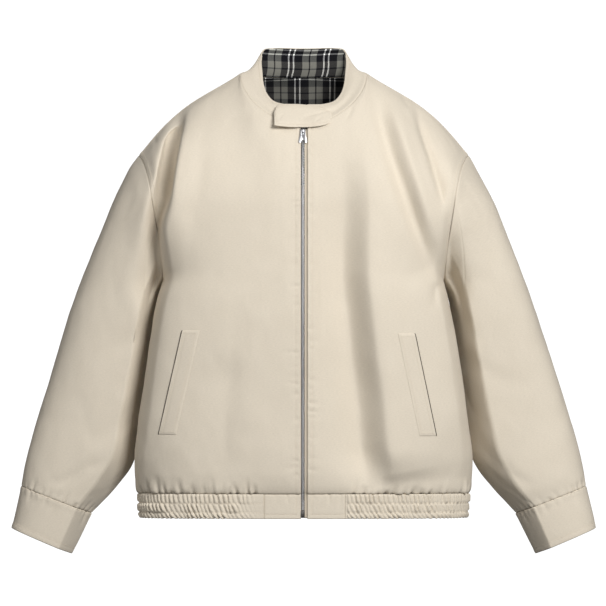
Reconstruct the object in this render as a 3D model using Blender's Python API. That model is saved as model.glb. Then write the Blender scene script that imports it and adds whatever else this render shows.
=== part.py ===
"""A harrington jacket, filled out as it is worn, with nobody in it.

Metres, +Z up. The front faces -Y and the wearer's left is +X. The origin is in the middle of the
neck, level with the two points where the collar meets the shoulder seams.

Each cloth piece is a grid of points on the jacket's outer surface. The grids of pieces that are
sewn together share their points along the seam. Every grid then becomes a closed wall, which
stops just short of its seams.
"""

import math
from collections import namedtuple

import bmesh
import bpy
import numpy as np
from mathutils.bvhtree import BVHTree

# ---------------------------------------------------------------- driving dimensions

SHELL = 0.002  # thickness of the lined shell
LINING = 0.0011
WELT = 0.0015
SEAM_GAP = 0.00036  # between two pieces that are sewn together
LAY_GAP = 0.0006  # between a piece and the cloth that it lies on

HEM_Z = -0.6867  # lower edge of the hem band
HEM_SEAM_Z = -0.6493
ARMPIT_Z = -0.325
CHEST_Z = -0.207  # where the armhole reaches furthest forward and back

NECK_HALF_WIDTH = 0.0985  # at the shoulder seams
NECK_FRONT = (-0.082, -0.085)  # y and z of the neck seam at the centre front
NECK_BACK = (0.056, -0.004)
NECK_FRONT_FORWARD = 0.85  # under 1, the seam runs forward before it drops
NECK_FRONT_DROP = 0.78  # share of its drop that is even
NECK_DROP_LEAN_FRONT = (0.45, 0.89)  # how the front leans back into the neck seam, as (y, z)
NECK_DROP_LEAN_BACK = (-0.55, 0.83)
NECK_POINT_LEAN = (0.86, 0.50)  # how the front comes up to the end of the shoulder seam
RIDGE_LEAN = (0.99, 0.12)  # how both panels come up to the shoulder seam

SHOULDER_POINT = (0.2558, 0.006, -0.127)  # top of the armhole
SHOULDER_SAG = 0.0165  # how far the rounded shoulder stands above a straight seam
SHOULDER_ROUND = 1.35  # over 1, the shoulder is roundest towards the sleeve

SIDE_SEAM_Y = 0.008
WIDEST_Y = -0.030  # where the body is widest, in front of the arms
SQUARENESS = 2.5  # exponent of the body's sections
ARMHOLE_X = (0.2165, 0.2317)  # at the armpit and at the chest
ARMHOLE_REACH = 0.099  # forward and back of the side seam
GROOVE_Y = 0.016  # middle of the hollow in which each sleeve hangs
GROOVE_REACH = 0.042

FRONT_EDGE = {"left": 0.0062, "right": 0.00465}  # from the centre to each front edge

# The body's level sections, from the hem seam up.
Section = namedtuple("Section", "z half_width front back groove")
BODY = (
    Section(HEM_SEAM_Z, 0.2545, 0.1225, 0.1110, 0.000),
    Section(-0.6430, 0.2575, 0.1248, 0.1155, 0.000),
    Section(-0.6260, 0.2598, 0.1278, 0.1190, 0.000),
    Section(-0.6000, 0.2612, 0.1292, 0.1200, 0.001),
    Section(-0.5500, 0.2567, 0.1290, 0.1190, 0.006),
    Section(-0.4900, 0.2492, 0.1285, 0.1180, 0.012),
    Section(-0.4300, 0.2412, 0.1290, 0.1180, 0.014),
    Section(-0.3700, 0.2310, 0.1285, 0.1190, 0.013),
    Section(-0.3450, 0.2255, 0.1275, 0.1195, 0.010),
    Section(ARMPIT_Z, 0.2200, 0.1265, 0.1200, 0.003),
    Section(CHEST_Z, 0.2195, 0.1190, 0.1190, 0.000),
)

# The sleeve, from the armhole down. The outer and inner points are its outline from the front.
SleeveRing = namedtuple("SleeveRing", "outer_x outer_z inner_x inner_z centre_y half_depth")
SLEEVE = (
    SleeveRing(0.2558, -0.1270, 0.2170, -0.3250, 0.0075, 0.0975),
    SleeveRing(0.2736, -0.1545, 0.2198, -0.3320, 0.0080, 0.0930),
    SleeveRing(0.2945, -0.1960, 0.2225, -0.3440, 0.0095, 0.0885),
    SleeveRing(0.3185, -0.2530, 0.2262, -0.3630, 0.0115, 0.0840),
    SleeveRing(0.3425, -0.3150, 0.2305, -0.3935, 0.0135, 0.0800),
    SleeveRing(0.3658, -0.3835, 0.2345, -0.4360, 0.0150, 0.0765),
    SleeveRing(0.3883, -0.4517, 0.2415, -0.4880, 0.0155, 0.0735),
    SleeveRing(0.4060, -0.5090, 0.2510, -0.5450, 0.0145, 0.0705),
    SleeveRing(0.4216, -0.5630, 0.2630, -0.6005, 0.0120, 0.0670),
    SleeveRing(0.4322, -0.6080, 0.2900, -0.6400, 0.0080, 0.0610),
    SleeveRing(0.4376, -0.6390, 0.3280, -0.6815, 0.0040, 0.0530),
)
CUFF_END = SleeveRing(0.4526, -0.7036, 0.3588, -0.7437, -0.0020, 0.0460)

# The outer edge of the collar, from the centre front (share 0) to the centre back (share 1).
CollarEdge = namedtuple("CollarEdge", "share x y z")
COLLAR_TOP = (
    CollarEdge(0.00, 0.0000, -0.0540, -0.0495),
    CollarEdge(0.12, 0.0280, -0.0520, -0.0485),
    CollarEdge(0.21, 0.0450, -0.0460, -0.0430),
    CollarEdge(0.28, 0.0540, -0.0360, -0.0330),
    CollarEdge(0.37, 0.0595, -0.0200, -0.0190),
    CollarEdge(0.50, 0.0625, 0.0040, 0.0030),
    CollarEdge(0.64, 0.0640, 0.0260, 0.0230),
    CollarEdge(0.76, 0.0600, 0.0410, 0.0385),
    CollarEdge(0.84, 0.0430, 0.0460, 0.0405),
    CollarEdge(1.00, 0.0000, 0.0470, 0.0400),
)
COLLAR_FLARE = 0.0022  # the collar curves out at its foot and in above it

# Large folds of the panels, as straight or bowed lines seen from the front or the back. A
# positive height is a ridge and a negative one a trough.
Fold = namedtuple("Fold", "x0 z0 x1 z1 bow width height")
FOLDS = {
    "front_left": (
        Fold(0.109, -0.006, 0.203, -0.312, -0.010, 0.013, -0.0080),
        Fold(0.130, -0.020, 0.216, -0.300, -0.006, 0.016, 0.0045),
        Fold(0.176, -0.040, 0.222, -0.222, 0.004, 0.011, -0.0055),
        Fold(0.081, -0.100, 0.139, -0.640, -0.018, 0.024, -0.0085),
        Fold(0.120, -0.130, 0.172, -0.600, -0.016, 0.030, 0.0050),
    ),
    "front_right": (
        Fold(0.188, -0.040, 0.221, -0.245, 0.002, 0.011, -0.0110),
        Fold(0.164, -0.045, 0.205, -0.300, 0.004, 0.022, 0.0050),
        Fold(0.112, -0.420, 0.150, -0.640, 0.006, 0.030, -0.0035),
    ),
    "back": (
        Fold(0.150, -0.040, 0.212, -0.300, 0.006, 0.014, -0.0075),
        Fold(-0.162, -0.050, -0.208, -0.290, -0.004, 0.016, -0.0085),
        Fold(0.070, -0.160, 0.118, -0.640, -0.012, 0.026, -0.0070),
        Fold(-0.092, -0.210, -0.104, -0.620, 0.014, 0.030, -0.0060),
        Fold(-0.020, -0.300, 0.012, -0.640, 0.010, 0.028, -0.0045),
    ),
}
# Folds of a sleeve: how far down (0 at the armhole, 1 at the cuff) and at what angle (0 is the
# outer side, 90 the front and 180 the inner side), at each end.
SleeveFold = namedtuple("SleeveFold", "down0 angle0 down1 angle1 width height")
SLEEVE_FOLDS = {
    "left": (
        SleeveFold(0.10, 150, 0.40, 70, 0.014, -0.0060),
        SleeveFold(0.28, 165, 0.52, 105, 0.015, -0.0050),
        SleeveFold(0.48, 170, 0.66, 60, 0.016, -0.0045),
        SleeveFold(0.70, 150, 0.96, 100, 0.013, -0.0055),
        SleeveFold(0.16, 215, 0.44, 290, 0.016, -0.0060),
        SleeveFold(0.50, 200, 0.70, 300, 0.017, -0.0050),
        SleeveFold(0.76, 220, 0.97, 260, 0.013, -0.0050),
    ),
    "right": (
        SleeveFold(0.08, 140, 0.36, 95, 0.016, -0.0065),
        SleeveFold(0.34, 168, 0.58, 80, 0.015, -0.0045),
        SleeveFold(0.58, 165, 0.80, 95, 0.014, -0.0050),
        SleeveFold(0.80, 120, 0.97, 70, 0.012, -0.0050),
        SleeveFold(0.14, 225, 0.40, 280, 0.015, -0.0055),
        SleeveFold(0.44, 205, 0.68, 285, 0.017, -0.0055),
        SleeveFold(0.78, 210, 0.97, 275, 0.013, -0.0045),
    ),
}

# Grid sizes
NECK_COLUMNS = 6  # of each panel, under the neck seam
SHOULDER_COLUMNS = 10  # of each panel, under the shoulder seam
HEM_ROWS = (HEM_SEAM_Z, -0.6432, -0.6320, -0.6120)  # close together, where the body blouses
BODY_ROWS = 7  # from there to the armpit
ARMHOLE_ROWS = 4  # from the armpit to the chest
YOKE_ROWS = 7  # from the chest to the neck and shoulder seams
SLEEVE_RINGS = 14
CUFF_RINGS = 3
COLLAR_ROWS = 4
LINING_ROWS = 6  # of the back's rows, from the neck seam down
LINING_FOOT = 0.20  # share of the collar's first row that its lining leaves free

# Hem band
BAND_HALF_WIDTH = (0.2520, 0.2530)  # at its lower edge and at its seam
BAND_FRONT = 0.1218
BAND_BACK = 0.1100
PLAIN_END = {"left": 0.0640, "right": 0.0612}  # where each plain front stretch ends
GATHERS = 130
GATHER_HEIGHT = 0.0026  # between the two edges
GATHER_HEIGHT_AT_EDGE = 0.0017

# Pocket welts: the slanted opening's ends, from the centre, and the width towards the centre
Welt = namedtuple("Welt", "top_x top_z bottom_x bottom_z width")
WELTS = {
    "left": Welt(0.1712, -0.4025, 0.2045, -0.5600, 0.0270),
    "right": Welt(0.1872, -0.3980, 0.2237, -0.5580, 0.0275),
}
WELT_ROWS = 12
WELT_COLUMNS = 3
WELT_GAP = 0.0010  # over the front, so that the front's folds pass under it

# Collar tab: its outline from the front, from its sewn end to its free end
TabStation = namedtuple("TabStation", "x top_z bottom_z stand_off")
TAB = (
    TabStation(0.0360, -0.0620, -0.0790, 0.0009),
    TabStation(0.0240, -0.0575, -0.0835, 0.0010),
    TabStation(0.0100, -0.0545, -0.0862, 0.0012),
    TabStation(-0.0060, -0.0535, -0.0872, 0.0015),
    TabStation(-0.0200, -0.0535, -0.0868, 0.0019),
    TabStation(-0.0330, -0.0545, -0.0858, 0.0025),
    TabStation(-0.0420, -0.0580, -0.0852, 0.0031),
    TabStation(-0.0465, -0.0650, -0.0850, 0.0035),
)
TAB_ROWS = 4
TAB_THICKNESS = 0.0022

# Zip
ZIP_X = -0.0014
CHAIN_WIDTH = 0.0050
CHAIN_THICKNESS = 0.0019
TAPE_WIDTH = 0.0135
TAPE_THICKNESS = 0.0010
TAPE_BEHIND = 0.0008  # of the front edges' inner faces
ZIP_TOP_Z = NECK_FRONT[1] - 0.0010
CHAIN_TOP_Z = -0.1030
BOX_TOP_Z = -0.6745
BOX_SIZE = (0.0057, 0.0040, 0.0112)
BOX_BACK = 0.0008  # of its middle behind the cloth's outer face

# Slider and pull. Heights over the cloth are measured square to it.
SLIDER_TOP_Z = -0.0882
PLATE_LENGTH = 0.0105
PLATE_WIDTH = (0.0092, 0.0070)  # at its top and at its foot
PLATE_OVER_CLOTH = 0.0004
PLATE_THICKNESS = 0.0014
CORE_SIZE = (0.0054, 0.0034, 0.0080)  # the middle, which reaches in between the front edges
ARCH_UP = 0.0010  # of its middle over the plate's middle
ARCH_WIDTH = 0.0022
ARCH_METAL = 0.0009
ARCH_RISE = 0.0040  # over the plate's face
ARCH_SPAN = 0.0070
BAR_UP = 0.0010  # of the pull's bar over the arch's middle
BAR_OUT = 0.0013  # of the bar's middle over the plate's face
PULL_LENGTH = 0.0215
PULL_HALF_WIDTHS = (0.0041, 0.0046, 0.0066)  # at the bar, at the waist and at the foot
PULL_THICKNESS = 0.0012
PULL_BAR = 0.0012  # height of the bar over the hole
PULL_HOLE = (0.0038, 0.0062)  # width and length
PULL_NOTCH_RADIUS = 0.0027
PULL_LEAN = math.radians(3.0)  # towards the cloth, from the plate's slope

COTTON = ("cotton", (0.730, 0.655, 0.545), 0.85, 0.0)
TARTAN = ("tartan", (0.060, 0.058, 0.052), 0.90, 0.0)
TAPE = ("zip_tape", (0.560, 0.500, 0.420), 0.80, 0.0)
METAL = ("zip_metal", (0.560, 0.560, 0.570), 0.30, 1.0)


# ---------------------------------------------------------------- helpers


def clear_scene():
    """Removes what the file holds, so that only the jacket is left."""
    for item in list(bpy.data.objects):
        bpy.data.objects.remove(item, do_unlink=True)


def material(look):
    """The named material, made once."""
    name, colour, roughness, metallic = look
    found = bpy.data.materials.get(name)
    if found:
        return found
    made = bpy.data.materials.new(name)
    made.use_nodes = True
    shader = made.node_tree.nodes["Principled BSDF"]
    shader.inputs["Base Color"].default_value = (*colour, 1.0)
    shader.inputs["Roughness"].default_value = roughness
    shader.inputs["Metallic"].default_value = metallic
    return made


def add_object(name, mesh, look, smooth=True):
    """Puts a mesh into the scene as one named piece."""
    mesh.materials.append(material(look))
    if smooth:
        mesh.shade_smooth()
        mesh.set_sharp_from_angle(angle=math.radians(50))
    made = bpy.data.objects.new(name, mesh)
    bpy.context.scene.collection.objects.link(made)
    return made


def closed_mesh(name, points, faces):
    """A mesh of a closed body, with its faces turned out."""
    shape = bmesh.new()
    corners = [shape.verts.new(point) for point in points]
    for face in faces:
        shape.faces.new([corners[i] for i in face])
    bmesh.ops.recalc_face_normals(shape, faces=shape.faces)
    mesh = bpy.data.meshes.new(name)
    shape.to_mesh(mesh)
    shape.free()
    return mesh


def unit(vectors):
    """The vectors at length 1."""
    vectors = np.asarray(vectors, float)
    return vectors / np.maximum(np.linalg.norm(vectors, axis=-1, keepdims=True), 1e-12)


def mixed(first, second, share):
    """The point that is this share of the way from first to second."""
    first, second = np.asarray(first, float), np.asarray(second, float)
    return first + (second - first) * share


def smooth_rows(table, at):
    """The table's row where its first column would be at, along a smooth curve."""
    rows = np.array(table, float)
    if rows[0, 0] > rows[-1, 0]:
        rows = rows[::-1]
    knots = rows[:, 0]
    slopes = np.gradient(rows, knots, axis=0)
    i = int(np.clip(np.searchsorted(knots, at) - 1, 0, len(knots) - 2))
    span = knots[i + 1] - knots[i]
    t = (at - knots[i]) / span
    return (
        (1 + 2 * t) * (1 - t) ** 2 * rows[i]
        + t * (1 - t) ** 2 * span * slopes[i]
        + t * t * (3 - 2 * t) * rows[i + 1]
        - t * t * (1 - t) * span * slopes[i + 1]
    )


def numbered(table):
    """The table with a first column that counts its rows."""
    return [(i, *row) for i, row in enumerate(table)]


def along(points, shares):
    """The points at the given shares of a polyline's length."""
    points = np.asarray(points, float)
    steps = np.linalg.norm(np.diff(points, axis=0), axis=1)
    length = np.concatenate([[0.0], np.cumsum(steps)])
    wanted = np.asarray(shares, float) * length[-1]
    return np.stack([np.interp(wanted, length, points[:, k]) for k in range(3)], axis=1)


def length_shares(points):
    """Each point's share of the length of the polyline through all of them."""
    steps = np.linalg.norm(np.diff(points, axis=0), axis=1)
    length = np.concatenate([[0.0], np.cumsum(steps)])
    return length / length[-1]


def cubic(start, start_handle, end_handle, end, shares):
    """Points on a cubic curve, by its handles."""
    t = np.asarray(shares, float)[:, None]
    return (
        (1 - t) ** 3 * start
        + 3 * t * (1 - t) ** 2 * start_handle
        + 3 * t * t * (1 - t) * end_handle
        + t**3 * end
    )


# ---------------------------------------------------------------- cloth pieces


class Cloth:
    """A grid of points on the outer surface, and how it becomes a wall."""

    def __init__(self, name, points, thickness=SHELL, look=COTTON, wraps=False):
        self.name = name
        self.points = np.asarray(points, float)
        self.thickness = thickness
        self.look = look
        self.wraps = wraps  # whether the last column meets the first
        self.normals = grid_normals(self.points, wraps)
        self.rims = self.normals.copy()
        self.seam_lean = np.zeros(self.points.shape[:2])

    def edge_cells(self):
        """The grid places along the piece's edges."""
        rows, columns = self.points.shape[:2]
        cells = {(i, j) for i in (0, rows - 1) for j in range(columns)}
        if not self.wraps:
            cells |= {(i, j) for i in range(rows) for j in (0, columns - 1)}
        return sorted(cells)

    def inward(self, i, j):
        """The direction along the surface, away from the edges that the place is on."""
        rows, columns = self.points.shape[:2]
        here = self.points[i, j]
        total = np.zeros(3)
        if i in (0, rows - 1):
            total += unit(self.points[1 if i == 0 else rows - 2, j] - here)
        if not self.wraps and j in (0, columns - 1):
            total += unit(self.points[i, 1 if j == 0 else columns - 2] - here)
        return total

    def outer_and_inner(self):
        """The wall's two faces, drawn back from the edges by half a seam gap."""
        outer = self.points.copy()
        for i, j in self.edge_cells():
            lean = self.seam_lean[i, j]
            outer[i, j] += SEAM_GAP / 2 * (self.inward(i, j) - lean * self.normals[i, j])
        facing = np.clip((self.rims * self.normals).sum(axis=2, keepdims=True), 0.7, 1.0)
        return outer, outer - self.rims * self.thickness / facing

    def build(self):
        """Adds the piece to the scene."""
        outer, inner = self.outer_and_inner()
        mesh = wall_mesh(self.name, outer, inner, self.wraps)
        return add_object(self.name, mesh, self.look)


def grid_normals(points, wraps):
    """Outward directions at the points of a grid whose columns run round to the wearer's left
    as its rows run up, seen from outside."""
    padded = np.concatenate([points, points[:, :1]], axis=1) if wraps else points
    quads = np.cross(
        padded[:-1, 1:] - padded[1:, :-1],
        padded[1:, 1:] - padded[:-1, :-1],
    )
    rows, columns = points.shape[:2]
    total = np.zeros(points.shape)
    for di in (0, 1):
        for dj in (0, 1):
            for j in range(quads.shape[1]):
                column = (j + dj) % columns
                total[di : rows - 1 + di, column] += quads[:, j]
    return unit(total)


def cell_triangles(a, b, c, d):
    """A grid cell's two triangles."""
    return [a, b, c], [a, c, d]


def wall_mesh(name, outer, inner, wraps):
    """A closed wall between two equal grids."""
    rows, columns = outer.shape[:2]
    points = np.concatenate([outer.reshape(-1, 3), inner.reshape(-1, 3)])
    back = rows * columns

    def at(i, j):
        return i * columns + j % columns

    last = columns if wraps else columns - 1
    faces = []
    for i in range(rows - 1):
        for j in range(last):
            for face in cell_triangles(at(i, j), at(i, j + 1), at(i + 1, j + 1), at(i + 1, j)):
                faces.append(face)
                faces.append([back + k for k in reversed(face)])
    for j in range(last):
        faces.append([at(0, j), back + at(0, j), back + at(0, j + 1), at(0, j + 1)])
        top = rows - 1
        faces.append([at(top, j), at(top, j + 1), back + at(top, j + 1), back + at(top, j)])
    if not wraps:
        end = columns - 1
        for i in range(rows - 1):
            faces.append([at(i, 0), at(i + 1, 0), back + at(i + 1, 0), back + at(i, 0)])
            faces.append([at(i, end), back + at(i, end), back + at(i + 1, end), at(i + 1, end)])
    return closed_mesh(name, points, faces)


def share_seams(pieces):
    """Lets pieces that share a point also share the direction of their edges there."""
    users = {}
    for piece in pieces:
        for i, j in piece.edge_cells():
            key = tuple(np.round(piece.points[i, j], 6))
            users.setdefault(key, []).append((piece, i, j))
    for places in users.values():
        own = [piece.normals[i, j].copy() for piece, i, j in places]
        for k, (piece, i, j) in enumerate(places):
            rim = own[k].copy()
            for m, other in enumerate(own):
                if m == k:
                    continue
                facing = float(own[k] @ other)
                rim += other * np.clip((facing + 0.5) / 0.5, 0.0, 1.0)
                piece.seam_lean[i, j] = max(piece.seam_lean[i, j], np.clip(1 - facing, 0, 1))
            piece.rims[i, j] = unit(rim)


def folded(points, normals, places, folds):
    """The points moved along their normals by the folds, but not at the grid's edges.

    places holds each point's two coordinates on the cloth, and a fold is a row of its ends,
    its sideways bow, its width and its height.
    """
    move = np.zeros(points.shape[:2])
    for x0, z0, x1, z1, bow, width, height in folds:
        start, end = np.array([x0, z0]), np.array([x1, z1])
        run = end - start
        length = np.linalg.norm(run)
        run = run / length
        aside = np.array([-run[1], run[0]]) * (1 if run[1] < 0 else -1)
        offset = places - start
        t = np.clip(offset @ run / length, 0.0, 1.0)
        middle = bow * 4 * t * (1 - t)
        over = offset @ run - t * length
        away = np.hypot(offset @ aside - middle, over)
        fade = np.clip(4 * t * (1 - t), 0.0, 1.0) ** 0.45
        move += height * fade * np.exp(-((away / width) ** 2))
    move[0] = move[-1] = 0.0
    move[:, 0] = 0.0
    move[:, -1] = 0.0
    return points + normals * move[:, :, None]


# ---------------------------------------------------------------- body


def armhole_place(height, facing):
    """The armhole's x and y at a height between the armpit and the chest."""
    share = (height - ARMPIT_Z) / (CHEST_Z - ARMPIT_Z)
    x = ARMHOLE_X[0] + (ARMHOLE_X[1] - ARMHOLE_X[0]) * share**1.3
    y = SIDE_SEAM_Y + facing * ARMHOLE_REACH * math.sqrt(1 - (1 - share) ** 2)
    return x, y


def body_section(height, facing, edge_x, shares):
    """Points of a level section, from the centre line to the side seam or the armhole.

    facing is -1 for the front and 1 for the back, and edge_x is where the section starts.
    """
    row = Section(*smooth_rows(BODY, height))
    power = SQUARENESS
    depth = {-1: row.front + WIDEST_Y, 1: row.back - WIDEST_Y}
    side_y = SIDE_SEAM_Y
    half_width = row.half_width
    if height > ARMPIT_Z:
        side_x, side_y = armhole_place(height, facing)
        towards = -1 if side_y < WIDEST_Y else 1
        reach = abs(side_y - WIDEST_Y) / depth[towards]
        past = side_x / (1 - reach**power) ** (1 / power)
        half_width = past
    towards = -1 if side_y < WIDEST_Y else 1
    lean = (abs(side_y - WIDEST_Y) / depth[towards]) ** (power / 2)
    end = math.acos(lean if towards == facing else -lean)
    start = math.asin((edge_x / half_width) ** (power / 2))
    angles = np.linspace(start, end, 120)
    x = half_width * np.sin(angles) ** (2 / power)
    bend = np.abs(np.cos(angles)) ** (2 / power)
    y = np.where(
        np.cos(angles) > 0,
        WIDEST_Y + facing * depth[facing] * bend,
        WIDEST_Y - facing * depth[-facing] * bend,
    )
    x = x - row.groove * np.exp(-(((y - GROOVE_Y) / GROOVE_REACH) ** 2))
    line = np.stack([x, y, np.full(x.shape, height)], axis=1)
    return along(line, shares)


def column_shares(height):
    """Where the grid's columns cross a section, as shares of its length."""
    rise = (height - HEM_SEAM_Z) / (CHEST_Z - HEM_SEAM_Z)
    neck_share = 0.31 + 0.09 * rise
    neck = np.arange(NECK_COLUMNS) / NECK_COLUMNS * neck_share
    side = neck_share + np.arange(SHOULDER_COLUMNS + 1) / SHOULDER_COLUMNS * (1 - neck_share)
    return np.concatenate([neck, side])


def neckline(facing, edge_x):
    """The neck seam, from the centre line to the shoulder seam."""
    y, z = NECK_FRONT if facing < 0 else NECK_BACK
    start = math.acos(edge_x / NECK_HALF_WIDTH)
    angles = np.linspace(start, 0.0, 60)
    forward, drop = np.sin(angles), np.sin(angles)
    if facing < 0:
        drop = NECK_FRONT_DROP * drop + (1 - NECK_FRONT_DROP) * (1 - np.cos(angles))
        forward = np.abs(forward) ** NECK_FRONT_FORWARD
    line = np.stack([NECK_HALF_WIDTH * np.cos(angles), y * forward, z * drop], axis=1)
    return along(line, np.arange(NECK_COLUMNS + 1) / NECK_COLUMNS)


def shoulder_seam():
    """The seam on top of the shoulder, from the neck to the top of the armhole."""
    neck_point = np.array([NECK_HALF_WIDTH, 0.0, 0.0])
    shares = np.linspace(0.0, 1.0, 60)
    line = mixed(neck_point, SHOULDER_POINT, shares[:, None])
    line[:, 2] += SHOULDER_SAG * np.sin(math.pi * shares**SHOULDER_ROUND)
    return along(line, np.arange(SHOULDER_COLUMNS + 1) / SHOULDER_COLUMNS)


def top_edge(facing, edge_x):
    """The seam points along a panel's top, with the direction in which it comes up to each."""
    neck = neckline(facing, edge_x)
    points = np.concatenate([neck[:-1], shoulder_seam()])
    lean = NECK_DROP_LEAN_FRONT if facing < 0 else NECK_DROP_LEAN_BACK
    at_centre = np.array([0.0, *lean])
    at_ridge = np.array([0.0, -facing * RIDGE_LEAN[0], RIDGE_LEAN[1]])
    at_neck = np.array([0.0, *NECK_POINT_LEAN]) if facing < 0 else at_ridge
    at_sleeve = np.array([0.22, -facing * 0.95, 0.22])
    directions = []
    for j in range(len(points)):
        if j < NECK_COLUMNS:
            share = math.sin(0.5 * math.pi * j / NECK_COLUMNS)
            directions.append(mixed(at_centre, at_neck, share))
        else:
            share = (j - NECK_COLUMNS) / SHOULDER_COLUMNS
            near_neck = mixed(at_neck, at_ridge, min(1.0, 3 * share))
            directions.append(mixed(near_neck, at_sleeve, share**2))
    return points, unit(directions)


def panel_rows():
    """The heights of the level rows, from the hem seam to the chest."""
    side = np.linspace(HEM_ROWS[-1], ARMPIT_Z, BODY_ROWS + 1)[1:]
    turns = np.linspace(0.0, math.pi / 2, ARMHOLE_ROWS + 1)[1:]
    arm = ARMPIT_Z + (CHEST_Z - ARMPIT_Z) * (1 - np.cos(turns))
    return [*HEM_ROWS, *side, *arm]


def half_panel(facing, edge_x):
    """The grid of a front, or of half the back, on the wearer's left."""
    level = []
    for height in panel_rows():
        level.append(body_section(height, facing, edge_x, column_shares(height)))
    shares = column_shares(CHEST_Z)
    below = body_section(CHEST_Z - 0.004, facing, edge_x, shares)
    chest = level[-1]
    rising = unit(chest - below)
    top, arriving = top_edge(facing, edge_x)
    steps = np.arange(1, YOKE_ROWS + 1) / YOKE_ROWS
    yoke = np.zeros((YOKE_ROWS, len(top), 3))
    for j in range(len(top)):
        reach = np.linalg.norm(top[j] - chest[j])
        out = max(0, j - NECK_COLUMNS) / SHOULDER_COLUMNS
        start_handle = chest[j] + rising[j] * reach * 0.35
        end_handle = top[j] - arriving[j] * reach * (0.22 + 0.20 * out)
        yoke[:, j] = cubic(chest[j], start_handle, end_handle, top[j], steps)
    return np.concatenate([np.array(level), yoke])


def mirrored(grid):
    """The grid of the other side, with its columns still running to the wearer's left."""
    return grid[:, ::-1] * np.array([-1.0, 1.0, 1.0])


def make_panels():
    """The two fronts and the back, as cloth pieces."""
    left = half_panel(-1, FRONT_EDGE["left"])
    right = mirrored(half_panel(-1, FRONT_EDGE["right"]))
    half_back = half_panel(1, 0.0)
    back = np.concatenate([half_back[:, ::-1], mirrored(half_back)[:, ::-1][:, 1:]], axis=1)
    panels = {}
    for name, grid in (("front_left", left), ("front_right", right), ("back", back)):
        side = -1 if name == "front_right" else 1
        places = grid[:, :, [0, 2]] * np.array([side, 1.0])
        points = folded(grid, grid_normals(grid, False), places, FOLDS[name])
        panels[name] = Cloth(name, points)
    return panels


# ---------------------------------------------------------------- sleeves and cuffs


def armhole_ring(front, back):
    """The armhole's points, from the shoulder down the front and up the back.

    front and back are the edge columns of the two panels, from the hem up.
    """
    first = len(HEM_ROWS) + BODY_ROWS - 1
    down = front[first:][::-1]
    up = back[first + 1 : -1]
    return np.concatenate([down, up])


def sleeve_ring(ring, angles, side):
    """Points of an oval ring at the given angles, 0 on the outer side and 90 degrees in front."""
    outer = np.array([ring.outer_x, ring.centre_y, ring.outer_z])
    inner = np.array([ring.inner_x, ring.centre_y, ring.inner_z])
    middle, reach = (outer + inner) / 2, (outer - inner) / 2
    across = np.cos(angles)[:, None] * reach
    forward = np.sin(angles)[:, None] * np.array([0.0, -ring.half_depth, 0.0])
    return (middle + across + forward) * np.array([side, 1.0, 1.0])


def ring_angles(ring, points, side):
    """The angle of each point round a ring, growing from the first point."""
    outer = np.array([ring.outer_x * side, ring.outer_z])
    inner = np.array([ring.inner_x * side, ring.inner_z])
    middle, reach = (outer + inner) / 2, (outer - inner) / 2
    across = (points[:, [0, 2]] - middle) @ reach / (reach @ reach)
    forward = (ring.centre_y - points[:, 1]) / ring.half_depth
    return np.unwrap(np.arctan2(forward, across))


def make_sleeve(side_name, front_edge, back_edge):
    """A sleeve and its cuff, from the armhole of the panels on that side."""
    side = 1 if side_name == "left" else -1
    armhole = armhole_ring(front_edge, back_edge)
    count = len(armhole)
    first_ring = SleeveRing(*SLEEVE[0])
    start_angles = ring_angles(first_ring, armhole, side)
    even_angles = np.arange(count) * 2 * math.pi / count
    rest = armhole - sleeve_ring(first_ring, start_angles, side)
    grid = [armhole]
    down = np.linspace(0.0, len(SLEEVE) - 1, SLEEVE_RINGS + 1)
    for k in range(1, SLEEVE_RINGS + 1):
        ring = SleeveRing(*smooth_rows(numbered(SLEEVE), down[k])[1:])
        settled = min(1.0, k / 4)
        angles = mixed(start_angles, even_angles, settled)
        grid.append(sleeve_ring(ring, angles, side) + rest * (1 - settled) ** 2)
    cuff = []
    for k in range(CUFF_RINGS + 1):
        ring = SleeveRing(*mixed(SLEEVE[-1], CUFF_END, k / CUFF_RINGS))
        cuff.append(sleeve_ring(ring, even_angles, side))
    sleeve_grid = oriented(np.array(grid), side)
    radius, length = 0.072, 0.60
    turns = oriented(np.tile(even_angles, (SLEEVE_RINGS + 1, 1))[:, :, None], side)[:, :, 0]
    falls = np.linspace(1.0, 0.0, SLEEVE_RINGS + 1)[:, None] * np.ones(count)
    places = np.stack([turns * radius, -falls * length], axis=2)
    folds = [
        (
            math.radians(f.angle0) * radius,
            -f.down0 * length,
            math.radians(f.angle1) * radius,
            -f.down1 * length,
            0.0,
            f.width,
            f.height,
        )
        for f in SLEEVE_FOLDS[side_name]
    ]
    points = folded(sleeve_grid, grid_normals(sleeve_grid, True), places, folds)
    return (
        Cloth(f"sleeve_{side_name}", points, wraps=True),
        Cloth(f"cuff_{side_name}", oriented(np.array(cuff), side), wraps=True),
    )


def oriented(grid, side):
    """A sleeve's grid with its rows running up and its columns towards the wearer's left."""
    grid = grid[::-1]
    return grid[:, ::-1] if side > 0 else grid


# ---------------------------------------------------------------- collar


def collar_seam(panels):
    """The neck seam's points, from the right front edge round the back to the left one."""
    right = panels["front_right"].points[-1, SHOULDER_COLUMNS:]
    left = panels["front_left"].points[-1, : NECK_COLUMNS + 1]
    back = panels["back"].points[-1, SHOULDER_COLUMNS:-SHOULDER_COLUMNS]
    return np.concatenate([left, back[1:], right[1:]])


def collar_top(shares, edges):
    """The collar's upper edge at shares of its length, from the left front edge round the back."""
    points = []
    for share in shares:
        side = 1 if share <= 0.5 else -1
        half = 2 * share if side > 0 else 2 * (1 - share)
        row = CollarEdge(*smooth_rows(COLLAR_TOP, half))
        start = edges[0] if side > 0 else edges[1]
        x = start + (1 - start / NECK_HALF_WIDTH) * row.x
        points.append([side * x, row.y, row.z])
    return np.array(points)


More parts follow.
